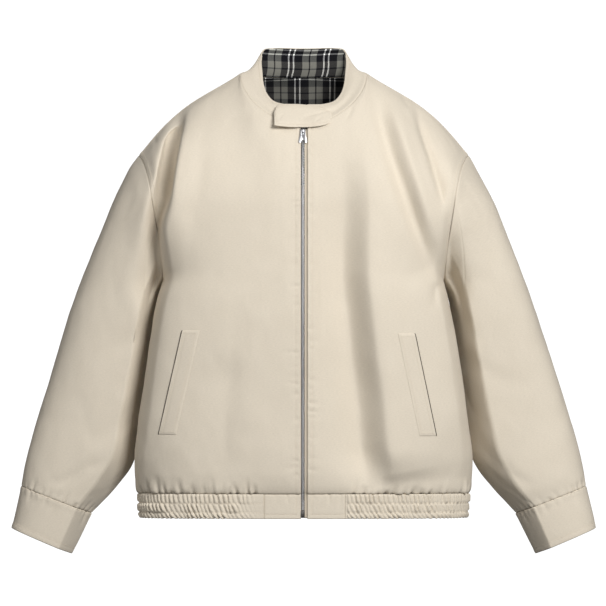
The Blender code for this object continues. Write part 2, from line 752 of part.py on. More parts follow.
def collar_grid(panels):
    """The collar's grid, from the neck seam up."""
    seam = collar_seam(panels)
    top = collar_top(length_shares(seam), (FRONT_EDGE["left"], FRONT_EDGE["right"]))
    out = unit((seam - top) * np.array([1.0, 1.0, 0.0]))
    rows = []
    for i in range(COLLAR_ROWS + 1):
        share = i / COLLAR_ROWS
        flare = COLLAR_FLARE * -math.sin(2 * math.pi * share)
        rows.append(mixed(seam, top, share) + out * flare)
    return np.array(rows)


def make_collar(panels):
    """The collar's outer cloth."""
    return Cloth("collar", collar_grid(panels))


def make_lining(name, piece, rows, columns, foot=0.0):
    """A lining that lies on a stretch of a piece's inner face, from this share of a row up."""
    inner = piece.outer_and_inner()[1][rows, columns]
    inner = inner - piece.normals[rows, columns] * LAY_GAP
    inner[0] = mixed(inner[0], inner[1], foot)
    return Cloth(name, inner, LINING, TARTAN)


def make_tab(collar):
    """The tab that the left collar end carries across the zip."""
    half = len(collar.points[0]) // 2
    seam = collar.points[0]
    top = collar.points[-1]
    left = slice(0, half)
    right = slice(half + 1, None)
    order = np.argsort(np.concatenate([seam[left, 0], seam[right, 0]]))
    foot = np.concatenate([seam[left], seam[right]])[order]
    head = np.concatenate([top[left], top[right]])[order]
    front = foot[:, 1] < -0.02
    foot, head = foot[front], head[front]
    rows = []
    for i in range(TAB_ROWS + 1):
        line = []
        for station in TAB:
            share = i / TAB_ROWS
            z = station.bottom_z + (station.top_z - station.bottom_z) * share
            foot_y = np.interp(station.x, foot[:, 0], foot[:, 1])
            foot_z = np.interp(station.x, foot[:, 0], foot[:, 2])
            head_y = np.interp(station.x, head[:, 0], head[:, 1])
            head_z = np.interp(station.x, head[:, 0], head[:, 2])
            rise = (z - foot_z) / (head_z - foot_z)
            y = foot_y + (head_y - foot_y) * rise
            line.append([station.x, y, z])
        rows.append(line[::-1])
    grid = np.array(rows)
    normals = grid_normals(grid, False)
    stand_off = np.array([station.stand_off for station in TAB[::-1]])
    grid = grid + normals * (stand_off + TAB_THICKNESS + COLLAR_FLARE)[None, :, None]
    return Cloth("collar_tab", grid, TAB_THICKNESS)


# ---------------------------------------------------------------- hem band


def band_line(share, count, first, last):
    """Points of the band's outline at a share of its height, between two places round it.

    Places count from the centre front at 0 to the centre back at 1, and on to 2.
    """
    half_width = mixed(BAND_HALF_WIDTH[0], BAND_HALF_WIDTH[1], share)
    power = SQUARENESS
    angles = np.linspace(0.0, math.pi, 400)
    depth = np.where(np.cos(angles) > 0, BAND_FRONT + WIDEST_Y, BAND_BACK - WIDEST_Y)
    bend = np.sign(np.cos(angles)) * np.abs(np.cos(angles)) ** (2 / power)
    x = half_width * np.sin(angles) ** (2 / power)
    y = WIDEST_Y - depth * bend
    z = np.full(x.shape, mixed(HEM_Z, HEM_SEAM_Z, share))
    half = np.stack([x, y, z], axis=1)
    other = half[::-1][1:] * np.array([-1.0, 1.0, 1.0])
    return along(np.concatenate([half, other]), np.linspace(first, last, count) / 2)


def band_place(x):
    """Where round the band its front is this far to the wearer's left."""
    line = band_line(0.5, 2001, 0.0, 2.0)
    places = np.linspace(0.0, 2.0, 2001)
    front = line[:, 1] < WIDEST_Y
    if x >= 0:
        chosen = front & (places < 1)
        return float(np.interp(x, line[chosen, 0], places[chosen]))
    chosen = front & (places > 1)
    return float(np.interp(x, line[chosen, 0], places[chosen]))


def level_out(line):
    """Outward directions of a level line that runs from the front round the wearer's left."""
    run = np.gradient(line, axis=0)
    return unit(np.stack([-run[:, 1], run[:, 0], np.zeros(len(line))], axis=1) * -1)


def make_plain_band(side_name):
    """The plain stretch of the band beside the zip."""
    edge, end = FRONT_EDGE[side_name], PLAIN_END[side_name]
    if side_name == "left":
        first, last = band_place(edge), band_place(end - SEAM_GAP / 2)
    else:
        first, last = band_place(-end + SEAM_GAP / 2), band_place(-edge)
    outer, inner = [], []
    for share in (0.0, 0.5, 1.0):
        line = band_line(share, 6, first, last)
        line[:, 2] += {0.0: 0.0, 0.5: 0.0, 1.0: -SEAM_GAP / 2}[share]
        outer.append(line)
        inner.append(line - level_out(line) * SHELL)
    name = f"hem_front_{side_name}"
    return add_object(name, wall_mesh(name, np.array(outer), np.array(inner), False), COTTON)


def make_elastic_band():
    """The gathered stretch round the sides and the back, raised over a plain inside."""
    first = band_place(PLAIN_END["left"] + SEAM_GAP / 2)
    last = band_place(-PLAIN_END["right"] - SEAM_GAP / 2)
    count = 2 * GATHERS + 1
    outer = []
    for share, height in (
        (0.0, GATHER_HEIGHT_AT_EDGE),
        (0.5, GATHER_HEIGHT),
        (1.0, GATHER_HEIGHT_AT_EDGE),
    ):
        line = band_line(share, count, first, last)
        raised = np.where(np.arange(count) % 2 == 1, height, 0.0)
        line = line + level_out(line) * raised[:, None]
        line[:, 2] -= SEAM_GAP / 2 if share == 1.0 else 0.0
        outer.append(line)
    inner = []
    for share in (0.0, 1.0):
        line = band_line(share, GATHERS + 1, first, last)
        line = line - level_out(line) * SHELL
        line[:, 2] -= SEAM_GAP / 2 if share == 1.0 else 0.0
        inner.append(line)
    points = np.concatenate([*outer, *inner])
    face, faces = 3 * count, []

    def at(i, j):
        return i * count + j

    def inside(i, j):
        return face + i * (GATHERS + 1) + j

    for j in range(count - 1):
        for i in range(2):
            faces.append([at(i, j), at(i, j + 1), at(i + 1, j + 1), at(i + 1, j)])
    for j in range(GATHERS):
        faces.append([inside(0, j), inside(1, j), inside(1, j + 1), inside(0, j + 1)])
        for i, k in ((0, 0), (2, 1)):
            ridge = at(i, 2 * j + 1)
            faces.append([at(i, 2 * j), ridge, inside(k, j)])
            faces.append([ridge, inside(k, j + 1), inside(k, j)])
            faces.append([ridge, at(i, 2 * j + 2), inside(k, j + 1)])
    faces.append([at(0, 0), at(1, 0), at(2, 0), inside(1, 0), inside(0, 0)])
    end = count - 1
    faces.append([at(0, end), at(1, end), at(2, end), inside(1, GATHERS), inside(0, GATHERS)])
    mesh = closed_mesh("hem_elastic", points, faces)
    return add_object("hem_elastic", mesh, COTTON, smooth=False)


# ---------------------------------------------------------------- pockets


def front_surface(panel):
    """A tree for finding where a line from the front meets a panel."""
    rows, columns = panel.points.shape[:2]
    points = [tuple(p) for p in panel.points.reshape(-1, 3)]
    faces = []
    for i in range(rows - 1):
        for j in range(columns - 1):
            k = i * columns + j
            faces += cell_triangles(k, k + 1, k + columns + 1, k + columns)
    return BVHTree.FromPolygons(points, faces)


def make_welt(side_name, panel):
    """A slanted pocket welt that lies on a front."""
    side = 1 if side_name == "left" else -1
    welt = WELTS[side_name]
    tree = front_surface(panel)
    rows = []
    for i in range(WELT_ROWS + 1):
        share = i / WELT_ROWS
        outer_x = mixed(welt.bottom_x, welt.top_x, share)
        z = mixed(welt.bottom_z, welt.top_z, share)
        line = []
        for j in range(WELT_COLUMNS + 1):
            x = outer_x - welt.width * (1 - j / WELT_COLUMNS)
            place, normal, _, _ = tree.ray_cast((side * x, -1.0, z), (0.0, 1.0, 0.0))
            if normal.y > 0:
                normal.negate()
            line.append(place + normal * (WELT_GAP + WELT))
        rows.append(line if side > 0 else line[::-1])
    return Cloth(f"pocket_welt_{side_name}", np.array(rows), WELT)


# ---------------------------------------------------------------- zip


def zip_line(panel):
    """The depth of the cloth beside the zip, as heights and depths that rise."""
    below = [[0.0, -BAND_FRONT, HEM_Z], [0.0, -BAND_FRONT, HEM_SEAM_Z]]
    line = np.concatenate([below, panel.points[1:, 0]])
    return line[:, 2], line[:, 1]


def zip_rows(heights, top_z, bottom_z):
    """The heights of a zip strip's rows, between its ends."""
    between = [z for z in heights if bottom_z + 0.003 < z < top_z - 0.003]
    return np.array([bottom_z, *between, top_z])


def make_strip(name, x0, x1, front_depth, thickness, top_z, bottom_z, line, look):
    """A strip that follows the zip, front_depth behind the cloth's outer face."""
    z = zip_rows(line[0], top_z, bottom_z)
    y = np.interp(z, *line)
    run = np.gradient(np.stack([y, z], axis=1), axis=0)
    back = unit(np.stack([np.zeros(len(z)), run[:, 1], -run[:, 0]], axis=1))
    middle = np.stack([np.zeros(len(z)), y, z], axis=1)
    front, rear = middle + back * front_depth, middle + back * (front_depth + thickness)
    left, right = np.array([x0, 0.0, 0.0]), np.array([x1, 0.0, 0.0])
    outer = np.stack([front + left, front + right], axis=1)
    inner = np.stack([rear + left, rear + right], axis=1)
    return add_object(name, wall_mesh(name, outer, inner, False), look)


def tapered_box(name, size, front, foot_share=1.0):
    """A box in its own frame, with its front face at y = -front and its foot narrower."""
    corners = []
    for y in (-front, -front + size[1]):
        for x, z in ((-0.5, -0.5), (0.5, -0.5), (0.5, 0.5), (-0.5, 0.5)):
            width = size[0] * (foot_share if z < 0 else 1.0)
            corners.append((x * width, y, z * size[2]))
    faces = [[3, 2, 1, 0], [4, 5, 6, 7], [0, 1, 5, 4], [1, 2, 6, 5], [2, 3, 7, 6], [3, 0, 4, 7]]
    return closed_mesh(name, corners, faces)


def bevelled(mesh, width):
    """The mesh with all its edges cut off by a width."""
    shape = bmesh.new()
    shape.from_mesh(mesh)
    bmesh.ops.bevel(shape, geom=shape.edges[:], offset=width, segments=1, affect="EDGES")
    shape.to_mesh(mesh)
    shape.free()
    return mesh


def looped_plate(name, outline, hole, thickness):
    """A flat plate in X and Z with a hole, between two loops with as many points each."""
    count = len(outline)
    points, faces = [], []
    for y in (-thickness / 2, thickness / 2):
        points += [(x, y, z) for x, z in (*outline, *hole)]
    rear = 2 * count
    for k in range(count):
        m = (k + 1) % count
        faces.append([k, m, count + m, count + k])
        faces.append([rear + k, rear + count + k, rear + count + m, rear + m])
        faces.append([k, rear + k, rear + m, m])
        faces.append([count + k, count + m, rear + count + m, rear + count + k])
    return closed_mesh(name, points, faces)


def slider_frame(line):
    """The middle of the slider's plate on its face, and how far the face leans from upright."""
    z = SLIDER_TOP_Z - PLATE_LENGTH / 2
    step = PLATE_LENGTH / 2
    lower, upper = (float(np.interp(z + d, *line)) for d in (-step, step))
    slope = math.atan2(upper - lower, 2 * step)
    cloth_y = float(np.interp(z, *line))
    return np.array([ZIP_X, cloth_y, z]), slope


def off_the_cloth(line, out, up):
    """The point this far out from the cloth at the slider's middle, and up along it."""
    place, slope = slider_frame(line)
    cos, sin = math.cos(slope), math.sin(slope)
    return place + out * np.array([0.0, -cos, sin]) + up * np.array([0.0, sin, cos])


def guide(item):
    """Marks an object as one that only shapes another."""
    item.hide_render = True
    item.display_type = "WIRE"
    return item


def make_slider(line):
    """The slider: a tapered plate, a core between the teeth and the arch that holds the pull."""
    _, slope = slider_frame(line)
    size = (PLATE_WIDTH[0], PLATE_THICKNESS, PLATE_LENGTH)
    plate = tapered_box("zip_slider", size, PLATE_THICKNESS, PLATE_WIDTH[1] / PLATE_WIDTH[0])
    slider = add_object("zip_slider", bevelled(plate, 0.0004), METAL)
    core = guide(add_object("slider_core", tapered_box("slider_core", CORE_SIZE, 0.0005), METAL))
    arch = guide(add_object("slider_arch", arch_mesh(), METAL))
    for item in (slider, core, arch):
        item.rotation_euler = (-slope, 0.0, 0.0)
        item.location = off_the_cloth(line, PLATE_OVER_CLOTH, 0.0)
    for item in (core, arch):
        join = slider.modifiers.new(item.name, "BOOLEAN")
        join.operation = "UNION"
        join.solver = "EXACT"
        join.object = item
    return slider


def arch_mesh():
    """The arch over the plate's face, with its feet sunk into the plate."""
    steps = 8
    half_width = ARCH_WIDTH / 2
    sunk = -PLATE_THICKNESS / 2
    loops = []
    for shrink in (0.0, ARCH_METAL):
        reach, rise = ARCH_SPAN / 2 - shrink, ARCH_RISE - shrink
        turns = np.linspace(0.0, math.pi, steps + 1)
        over = [
            (reach * math.cos(t) + ARCH_UP, -PLATE_THICKNESS - rise * math.sin(t) ** 0.6)
            for t in turns
        ]
        loops.append([(over[0][0], sunk), *over, (over[-1][0], sunk)])
    count = steps + 3
    points = [(x, y, z) for x in (-half_width, half_width) for loop in loops for z, y in loop]
    faces = []
    for k in range(count - 1):
        a, b, c, d = k, k + 1, count + k + 1, count + k
        right = 2 * count
        faces.append([a, b, c, d])
        faces.append([right + d, right + c, right + b, right + a])
        faces.append([a, right + a, right + b, b])
        faces.append([d, c, right + c, right + d])
    for k in (0, count - 1):
        faces.append([k, count + k, 3 * count + k, 2 * count + k])
    return closed_mesh("slider_arch", points, faces)


def pull_outline():
    """The pull's edge and its hole as loops of equal count, with the bar's middle at the origin."""
    top, waist, foot = PULL_HALF_WIDTHS
    bar = PULL_BAR / 2
    foot_z = bar - PULL_LENGTH
    waist_z = bar - PULL_LENGTH * 0.42
    radius = PULL_NOTCH_RADIUS
    notch_z = foot_z + 0.0022
    right_side = [
        (0.0, bar),
        (top * 0.75, bar),
        (top, bar - 0.0010),
        (top * 1.02, bar - 0.0040),
        (waist, waist_z),
        (foot, foot_z + 0.0016),
        (foot - 0.0010, foot_z),
        (radius + 0.0004, foot_z),
    ]
    arc = [
        (radius * math.cos(turn), notch_z + radius * math.sin(turn))
        for turn in np.radians((0, 45, 90, 135, 180))
    ]
    outline = right_side + arc + [(-x, z) for x, z in right_side[:0:-1]]
    half_w, length = PULL_HOLE[0] / 2, PULL_HOLE[1]
    corner = 0.0008
    top_z, low_z = -bar, -bar - length
    right_hole = [
        (0.0, top_z),
        (half_w - corner, top_z),
        (half_w, top_z - corner),
        (half_w, top_z - length * 0.45),
        (half_w, low_z + corner * 1.5),
        (half_w - corner * 0.4, low_z + corner * 0.6),
        (half_w - corner, low_z + corner * 0.2),
        (half_w * 0.5, low_z + corner * 0.1),
    ]
    foot_hole = [
        (half_w * 0.36, low_z),
        (half_w * 0.18, low_z),
        (0.0, low_z),
        (-half_w * 0.18, low_z),
        (-half_w * 0.36, low_z),
    ]
    hole = right_hole + foot_hole + [(-x, z) for x, z in right_hole[:0:-1]]
    return outline, hole


def make_pull(line):
    """The pull, which hangs from the arch by its bar and lies against the front."""
    _, slope = slider_frame(line)
    out = PLATE_OVER_CLOTH + PLATE_THICKNESS + BAR_OUT
    mesh = looped_plate("zip_pull", *pull_outline(), PULL_THICKNESS)
    pull = add_object("zip_pull", mesh, METAL)
    pull.location = off_the_cloth(line, out, ARCH_UP + BAR_UP)
    pull.rotation_euler = (-slope + PULL_LEAN, 0.0, 0.0)
    return pull


def make_box(line):
    """The box at the foot of the zip."""
    z = BOX_TOP_Z - BOX_SIZE[2] / 2
    mesh = bevelled(tapered_box("zip_box", BOX_SIZE, BOX_SIZE[1] / 2), 0.0005)
    box = add_object("zip_box", mesh, METAL)
    box.location = (ZIP_X, float(np.interp(z, *line)) + BOX_BACK, z)
    return box


def make_zip(panel):
    """The zip: its tapes, its closed chain, its box at the hem, its slider and its pull."""
    line = zip_line(panel)
    behind = SHELL + TAPE_BEHIND
    chain_left, chain_right = ZIP_X + CHAIN_WIDTH / 2, ZIP_X - CHAIN_WIDTH / 2
    tape_left, tape_right = chain_left + SEAM_GAP, chain_right - SEAM_GAP
    bottom = HEM_Z + 0.0006
    tapes = (
        ("zip_tape_left", tape_left, tape_left + TAPE_WIDTH),
        ("zip_tape_right", tape_right - TAPE_WIDTH, tape_right),
    )
    for name, x0, x1 in tapes:
        make_strip(name, x0, x1, behind, TAPE_THICKNESS, ZIP_TOP_Z, bottom, line, TAPE)
    chain_front = behind - (CHAIN_THICKNESS - TAPE_THICKNESS) / 2
    make_strip(
        "zip_chain",
        chain_right,
        chain_left,
        chain_front,
        CHAIN_THICKNESS,
        CHAIN_TOP_Z,
        BOX_TOP_Z + SEAM_GAP,
        line,
        METAL,
    )
    make_box(line)
    make_slider(line)
    make_pull(line)


# ---------------------------------------------------------------- the jacket


def build_jacket():
    """Models every piece."""
    clear_scene()
    panels = make_panels()
    left, right, back = (panels[name] for name in ("front_left", "front_right", "back"))
    sleeve_left, cuff_left = make_sleeve("left", left.points[:, -1], back.points[:, 0])
    sleeve_right, cuff_right = make_sleeve("right", right.points[:, 0], back.points[:, -1])
    collar = make_collar(panels)
    sewn = [left, right, back, sleeve_left, sleeve_right, cuff_left, cuff_right, collar]
    share_seams(sewn)
    for piece in sewn:
        piece.build()
    neck = slice(SHOULDER_COLUMNS + 1, -SHOULDER_COLUMNS - 1)
    make_lining("collar_lining", collar, slice(None), slice(None), LINING_FOOT).build()
    make_lining("back_lining", back, slice(-LINING_ROWS, None), neck).build()
    make_tab(collar).build()
    make_elastic_band()
    for side_name, panel in (("left", left), ("right", right)):
        make_plain_band(side_name)
        make_welt(side_name, panel).build()
    make_zip(left)


build_jacket()
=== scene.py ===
import math
from collections import namedtuple

import bmesh
import bpy
import numpy as np
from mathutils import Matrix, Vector
from mathutils.bvhtree import BVHTree


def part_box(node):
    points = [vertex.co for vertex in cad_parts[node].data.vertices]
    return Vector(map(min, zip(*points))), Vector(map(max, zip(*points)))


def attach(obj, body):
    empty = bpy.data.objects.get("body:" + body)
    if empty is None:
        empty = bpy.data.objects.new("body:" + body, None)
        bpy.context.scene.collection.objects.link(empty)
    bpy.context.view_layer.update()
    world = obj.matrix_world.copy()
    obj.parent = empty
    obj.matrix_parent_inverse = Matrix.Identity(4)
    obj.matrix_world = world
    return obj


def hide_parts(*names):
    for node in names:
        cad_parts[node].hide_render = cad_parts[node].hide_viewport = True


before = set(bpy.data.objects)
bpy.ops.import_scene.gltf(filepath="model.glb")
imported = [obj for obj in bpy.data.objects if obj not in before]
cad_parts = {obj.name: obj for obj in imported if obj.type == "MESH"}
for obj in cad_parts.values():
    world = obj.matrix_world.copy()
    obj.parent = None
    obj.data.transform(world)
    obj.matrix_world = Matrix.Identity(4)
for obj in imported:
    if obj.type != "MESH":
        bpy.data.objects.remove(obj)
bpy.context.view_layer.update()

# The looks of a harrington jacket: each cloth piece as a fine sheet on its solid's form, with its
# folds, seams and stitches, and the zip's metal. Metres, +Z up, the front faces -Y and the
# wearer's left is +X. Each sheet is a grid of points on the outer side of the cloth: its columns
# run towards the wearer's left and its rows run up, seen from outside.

BODY = "jacket"
PULL_BODY = "zip_pull"

# ---------------- sizes that the solids have too

SHELL = 0.002  # thickness of the lined shell
LINING = 0.0011
LAY_GAP = 0.0006

HEM_Z = -0.6867
HEM_SEAM_Z = -0.6493
ARMPIT_Z = -0.325
CHEST_Z = -0.207

NECK_HALF_WIDTH = 0.0985
NECK_FRONT = (-0.082, -0.085)
NECK_BACK = (0.056, -0.004)
NECK_FRONT_FORWARD = 0.85
NECK_FRONT_DROP = 0.78
NECK_DROP_LEAN_FRONT = (0.45, 0.89)
NECK_DROP_LEAN_BACK = (-0.55, 0.83)
NECK_POINT_LEAN = (0.86, 0.50)
RIDGE_LEAN = (0.99, 0.12)

SHOULDER_POINT = (0.2558, 0.006, -0.127)
SHOULDER_SAG = 0.0165
SHOULDER_ROUND = 1.35

SIDE_SEAM_Y = 0.008
WIDEST_Y = -0.030
SQUARENESS = 2.5
ARMHOLE_X = (0.2165, 0.2317)
ARMHOLE_REACH = 0.099
GROOVE_Y = 0.016
GROOVE_REACH = 0.042

FRONT_EDGE = {"left": 0.0062, "right": 0.00465}

Section = namedtuple("Section", "z half_width front back groove")
SECTIONS = (
    Section(HEM_SEAM_Z, 0.2545, 0.1225, 0.1110, 0.000),
    Section(-0.6430, 0.2575, 0.1248, 0.1155, 0.000),
    Section(-0.6260, 0.2598, 0.1278, 0.1190, 0.000),
    Section(-0.6000, 0.2612, 0.1292, 0.1200, 0.001),
    Section(-0.5500, 0.2567, 0.1290, 0.1190, 0.006),
    Section(-0.4900, 0.2492, 0.1285, 0.1180, 0.012),
    Section(-0.4300, 0.2412, 0.1290, 0.1180, 0.014),
    Section(-0.3700, 0.2310, 0.1285, 0.1190, 0.013),
    Section(-0.3450, 0.2255, 0.1275, 0.1195, 0.010),
    Section(ARMPIT_Z, 0.2200, 0.1265, 0.1200, 0.003),
    Section(CHEST_Z, 0.2195, 0.1190, 0.1190, 0.000),
)

SleeveRing = namedtuple("SleeveRing", "outer_x outer_z inner_x inner_z centre_y half_depth")
SLEEVE = (
    SleeveRing(0.2558, -0.1270, 0.2170, -0.3250, 0.0075, 0.0975),
    SleeveRing(0.2736, -0.1545, 0.2198, -0.3320, 0.0080, 0.0930),
    SleeveRing(0.2945, -0.1960, 0.2225, -0.3440, 0.0095, 0.0885),
    SleeveRing(0.3185, -0.2530, 0.2262, -0.3630, 0.0115, 0.0840),
    SleeveRing(0.3425, -0.3150, 0.2305, -0.3935, 0.0135, 0.0800),
    SleeveRing(0.3658, -0.3835, 0.2345, -0.4360, 0.0150, 0.0765),
    SleeveRing(0.3883, -0.4517, 0.2415, -0.4880, 0.0155, 0.0735),
    SleeveRing(0.4060, -0.5090, 0.2510, -0.5450, 0.0145, 0.0705),
    SleeveRing(0.4216, -0.5630, 0.2630, -0.6005, 0.0120, 0.0670),
    SleeveRing(0.4322, -0.6080, 0.2900, -0.6400, 0.0080, 0.0610),
    SleeveRing(0.4376, -0.6390, 0.3280, -0.6815, 0.0040, 0.0530),
)
CUFF_END = SleeveRing(0.4526, -0.7036, 0.3588, -0.7437, -0.0020, 0.0460)

CollarEdge = namedtuple("CollarEdge", "share x y z")
COLLAR_TOP = (
    CollarEdge(0.00, 0.0000, -0.0540, -0.0495),
    CollarEdge(0.12, 0.0280, -0.0520, -0.0485),
    CollarEdge(0.21, 0.0450, -0.0460, -0.0430),
    CollarEdge(0.28, 0.0540, -0.0360, -0.0330),
    CollarEdge(0.37, 0.0595, -0.0200, -0.0190),
    CollarEdge(0.50, 0.0625, 0.0040, 0.0030),
    CollarEdge(0.64, 0.0640, 0.0260, 0.0230),
    CollarEdge(0.76, 0.0600, 0.0410, 0.0385),
    CollarEdge(0.84, 0.0430, 0.0460, 0.0405),
    CollarEdge(1.00, 0.0000, 0.0470, 0.0400),
)
COLLAR_FLARE = 0.0022

# The broad folds: both ends of each, how far its middle bows aside, its width and its height
Fold = namedtuple("Fold", "x0 z0 x1 z1 bow width height")
FOLDS = {
    "front_left": (
        Fold(0.109, -0.006, 0.203, -0.312, -0.010, 0.013, -0.0080),
        Fold(0.130, -0.020, 0.216, -0.300, -0.006, 0.016, 0.0045),
        Fold(0.176, -0.040, 0.222, -0.222, 0.004, 0.011, -0.0055),
    ),
    "front_right": (
        Fold(0.188, -0.040, 0.221, -0.245, 0.002, 0.011, -0.0110),
        Fold(0.164, -0.045, 0.205, -0.300, 0.004, 0.022, 0.0050),
        Fold(0.112, -0.420, 0.150, -0.640, 0.006, 0.030, -0.0035),
    ),
    "back": (
        Fold(0.150, -0.040, 0.212, -0.300, 0.006, 0.014, -0.0075),
        Fold(-0.162, -0.050, -0.208, -0.290, -0.004, 0.016, -0.0085),
        Fold(0.070, -0.160, 0.118, -0.640, -0.012, 0.026, -0.0070),
        Fold(-0.092, -0.210, -0.104, -0.620, 0.014, 0.030, -0.0060),
        Fold(-0.020, -0.300, 0.012, -0.640, 0.010, 0.028, -0.0045),
    ),
}
# On a sleeve an end is a share of the way down and an angle in degrees, 90 in front
SleeveFold = namedtuple("SleeveFold", "down0 angle0 down1 angle1 width height")
SLEEVE_FOLDS = {
    "left": (
        SleeveFold(0.10, 150, 0.40, 70, 0.014, -0.0060),
        SleeveFold(0.28, 165, 0.52, 105, 0.015, -0.0050),
        SleeveFold(0.48, 170, 0.66, 60, 0.016, -0.0045),
        SleeveFold(0.70, 150, 0.96, 100, 0.013, -0.0055),
        SleeveFold(0.16, 215, 0.44, 290, 0.016, -0.0060),
        SleeveFold(0.50, 200, 0.70, 300, 0.017, -0.0050),
        SleeveFold(0.76, 220, 0.97, 260, 0.013, -0.0050),
    ),
    "right": (
        SleeveFold(0.08, 140, 0.36, 95, 0.016, -0.0065),
        SleeveFold(0.34, 168, 0.58, 80, 0.015, -0.0045),
        SleeveFold(0.58, 165, 0.80, 95, 0.014, -0.0050),
        SleeveFold(0.80, 120, 0.97, 70, 0.012, -0.0050),
        SleeveFold(0.14, 225, 0.40, 280, 0.015, -0.0055),
        SleeveFold(0.44, 205, 0.68, 285, 0.017, -0.0055),
        SleeveFold(0.78, 210, 0.97, 275, 0.013, -0.0045),
    ),
}
FOLD_RADIUS = 0.072  # of a sleeve, where its folds' angles become lengths
FOLD_LENGTH = 0.60  # of a sleeve, where shares of it become lengths
FOLD_FADE = 0.30  # share of its length over which a fold grows at each end
CREASE_STEPS = 24
CREASE_ROUND = 1.7  # power that shapes a crease's section

BAND_HALF_WIDTH = (0.2520, 0.2530)
BAND_FRONT = 0.1218
BAND_BACK = 0.1100
PLAIN_END = {"left": 0.0640, "right": 0.0612}

Welt = namedtuple("Welt", "top_x top_z bottom_x bottom_z width")
WELTS = {
    "left": Welt(0.1712, -0.4025, 0.2045, -0.5600, 0.0270),
    "right": Welt(0.1872, -0.3980, 0.2237, -0.5580, 0.0275),
}
WELT = 0.0015

TabStation = namedtuple("TabStation", "x top_z bottom_z stand_off")
TAB = (
    TabStation(0.0430, -0.0590, -0.0765, -0.0052),
    TabStation(0.0340, -0.0575, -0.0825, -0.0022),
    TabStation(0.0240, -0.0560, -0.0862, 0.0004),
    TabStation(0.0100, -0.0540, -0.0880, 0.0010),
    TabStation(-0.0060, -0.0525, -0.0882, 0.0012),
    TabStation(-0.0200, -0.0530, -0.0890, 0.0022),
    TabStation(-0.0330, -0.0545, -0.0889, 0.0034),
    TabStation(-0.0420, -0.0590, -0.0887, 0.0042),
    TabStation(-0.0465, -0.0680, -0.0880, 0.0048),
)
TAB_THICKNESS = 0.0022

ZIP_X = -0.0014
CHAIN_WIDTH = 0.0050
TAPE_WIDTH = 0.0135
TAPE_THICKNESS = 0.0010
TAPE_BEHIND = 0.0008
CHAIN_TOP_Z = -0.1030
BOX_TOP_Z = -0.6745

# The solids' columns and rows, and how many fine ones take the place of each
NECK_COLUMNS = 6
SHOULDER_COLUMNS = 10
ARMHOLE_ROWS = 4
YOKE_ROWS = 7
SLEEVE_RINGS = 14
FINE_COLUMNS = 8
FINE_ARMHOLE = 8
FINE_YOKE = 10
FINE_RINGS = 16
LOWER_ROWS = 126  # fine rows between the hem seam and the armpit
CUFF_ROWS = 28
COLLAR_ROWS = 26
INNER_STEP = 2  # every second fine row and column on the cloth's inside
NECK_COUNT = NECK_COLUMNS * FINE_COLUMNS
SHOULDER_COUNT = SHOULDER_COLUMNS * FINE_COLUMNS
SMOOTHING = 5.0  # fine rows or columns over which a panel's joins are blurred
NECK_SHARE = (0.31, 0.09)  # of a section that lies under the neck at the hem, and the chest's more
LEVEL_SAMPLES = 178  # level sections from which the even rows are taken
ARMPIT_BLEND = 0.045
ARMHOLE_BLEND = 26  # columns beside the armhole that turn to its own rows
YOKE_START = 0.35  # how far a yoke's curves keep their first direction, as a share of their reach
YOKE_END = (0.22, 0.20)  # and their last, at the neck and how much more at the sleeve

# ---------------- small helpers


def unit(vectors):
    """The vectors at length 1."""
    vectors = np.asarray(vectors, float)
    return vectors / np.maximum(np.linalg.norm(vectors, axis=-1, keepdims=True), 1e-12)


def mixed(first, second, share):
    """What is this share of the way from first to second."""
    first, second = np.asarray(first, float), np.asarray(second, float)
    return first + (second - first) * share


def eased(share):
    """A share that starts and ends gently, held between 0 and 1."""
    share = np.clip(share, 0.0, 1.0)
    return share * share * (3 - 2 * share)


def smooth_rows(table, at):
    """The table's rows where its first column would be at, along a smooth curve."""
    rows = np.array(table, float)
    if rows[0, 0] > rows[-1, 0]:
        rows = rows[::-1]
    knots = rows[:, 0]
    slopes = np.gradient(rows, knots, axis=0)
    at = np.atleast_1d(np.asarray(at, float))
    i = np.clip(np.searchsorted(knots, at) - 1, 0, len(knots) - 2)
    span = (knots[i + 1] - knots[i])[:, None]
    t = (at - knots[i])[:, None] / span
    return (
        (1 + 2 * t) * (1 - t) ** 2 * rows[i]
        + t * (1 - t) ** 2 * span * slopes[i]
        + t * t * (3 - 2 * t) * rows[i + 1]
        - t * t * (1 - t) * span * slopes[i + 1]
    )


def numbered(table):
    """The table with a first column that counts its rows."""
    return [(i, *row) for i, row in enumerate(table)]


def bell(values, middle, width):
    """A soft bump over the values, 1 high at its middle."""
    return np.exp(-(((values - middle) / width) ** 2))


def lengths_along(points):
    """How far each point lies along the polyline through all of them."""
    steps = np.linalg.norm(np.diff(points, axis=0), axis=1)
    return np.concatenate([[0.0], np.cumsum(steps)])


def at_lengths(points, wanted):
    """The points at these lengths along a polyline."""
    length = lengths_along(points)
    columns = [np.interp(wanted, length, points[:, k]) for k in range(points.shape[1])]
    return np.stack(columns, axis=1)


def along(points, shares):
    """The points at the given shares of a polyline's length."""
    points = np.asarray(points, float)
    return at_lengths(points, np.asarray(shares, float) * lengths_along(points)[-1])


def ripples(u, v, size, seed):
    """Soft random waves of this size over two coordinates, between about -1 and 1."""
    count = 64
    lattice = np.random.default_rng(seed).uniform(-1.0, 1.0, (count, count))
    a, b = u / size, v / size
    i, j = np.floor(a).astype(int), np.floor(b).astype(int)
    s, t = eased(a - i), eased(b - j)
    i, j = i % count, j % count
    k, m = (i + 1) % count, (j + 1) % count
    low = lattice[i, j] * (1 - s) + lattice[k, j] * s
    high = lattice[i, m] * (1 - s) + lattice[k, m] * s
    return low * (1 - t) + high * t


# ---------------- the sheets' forms


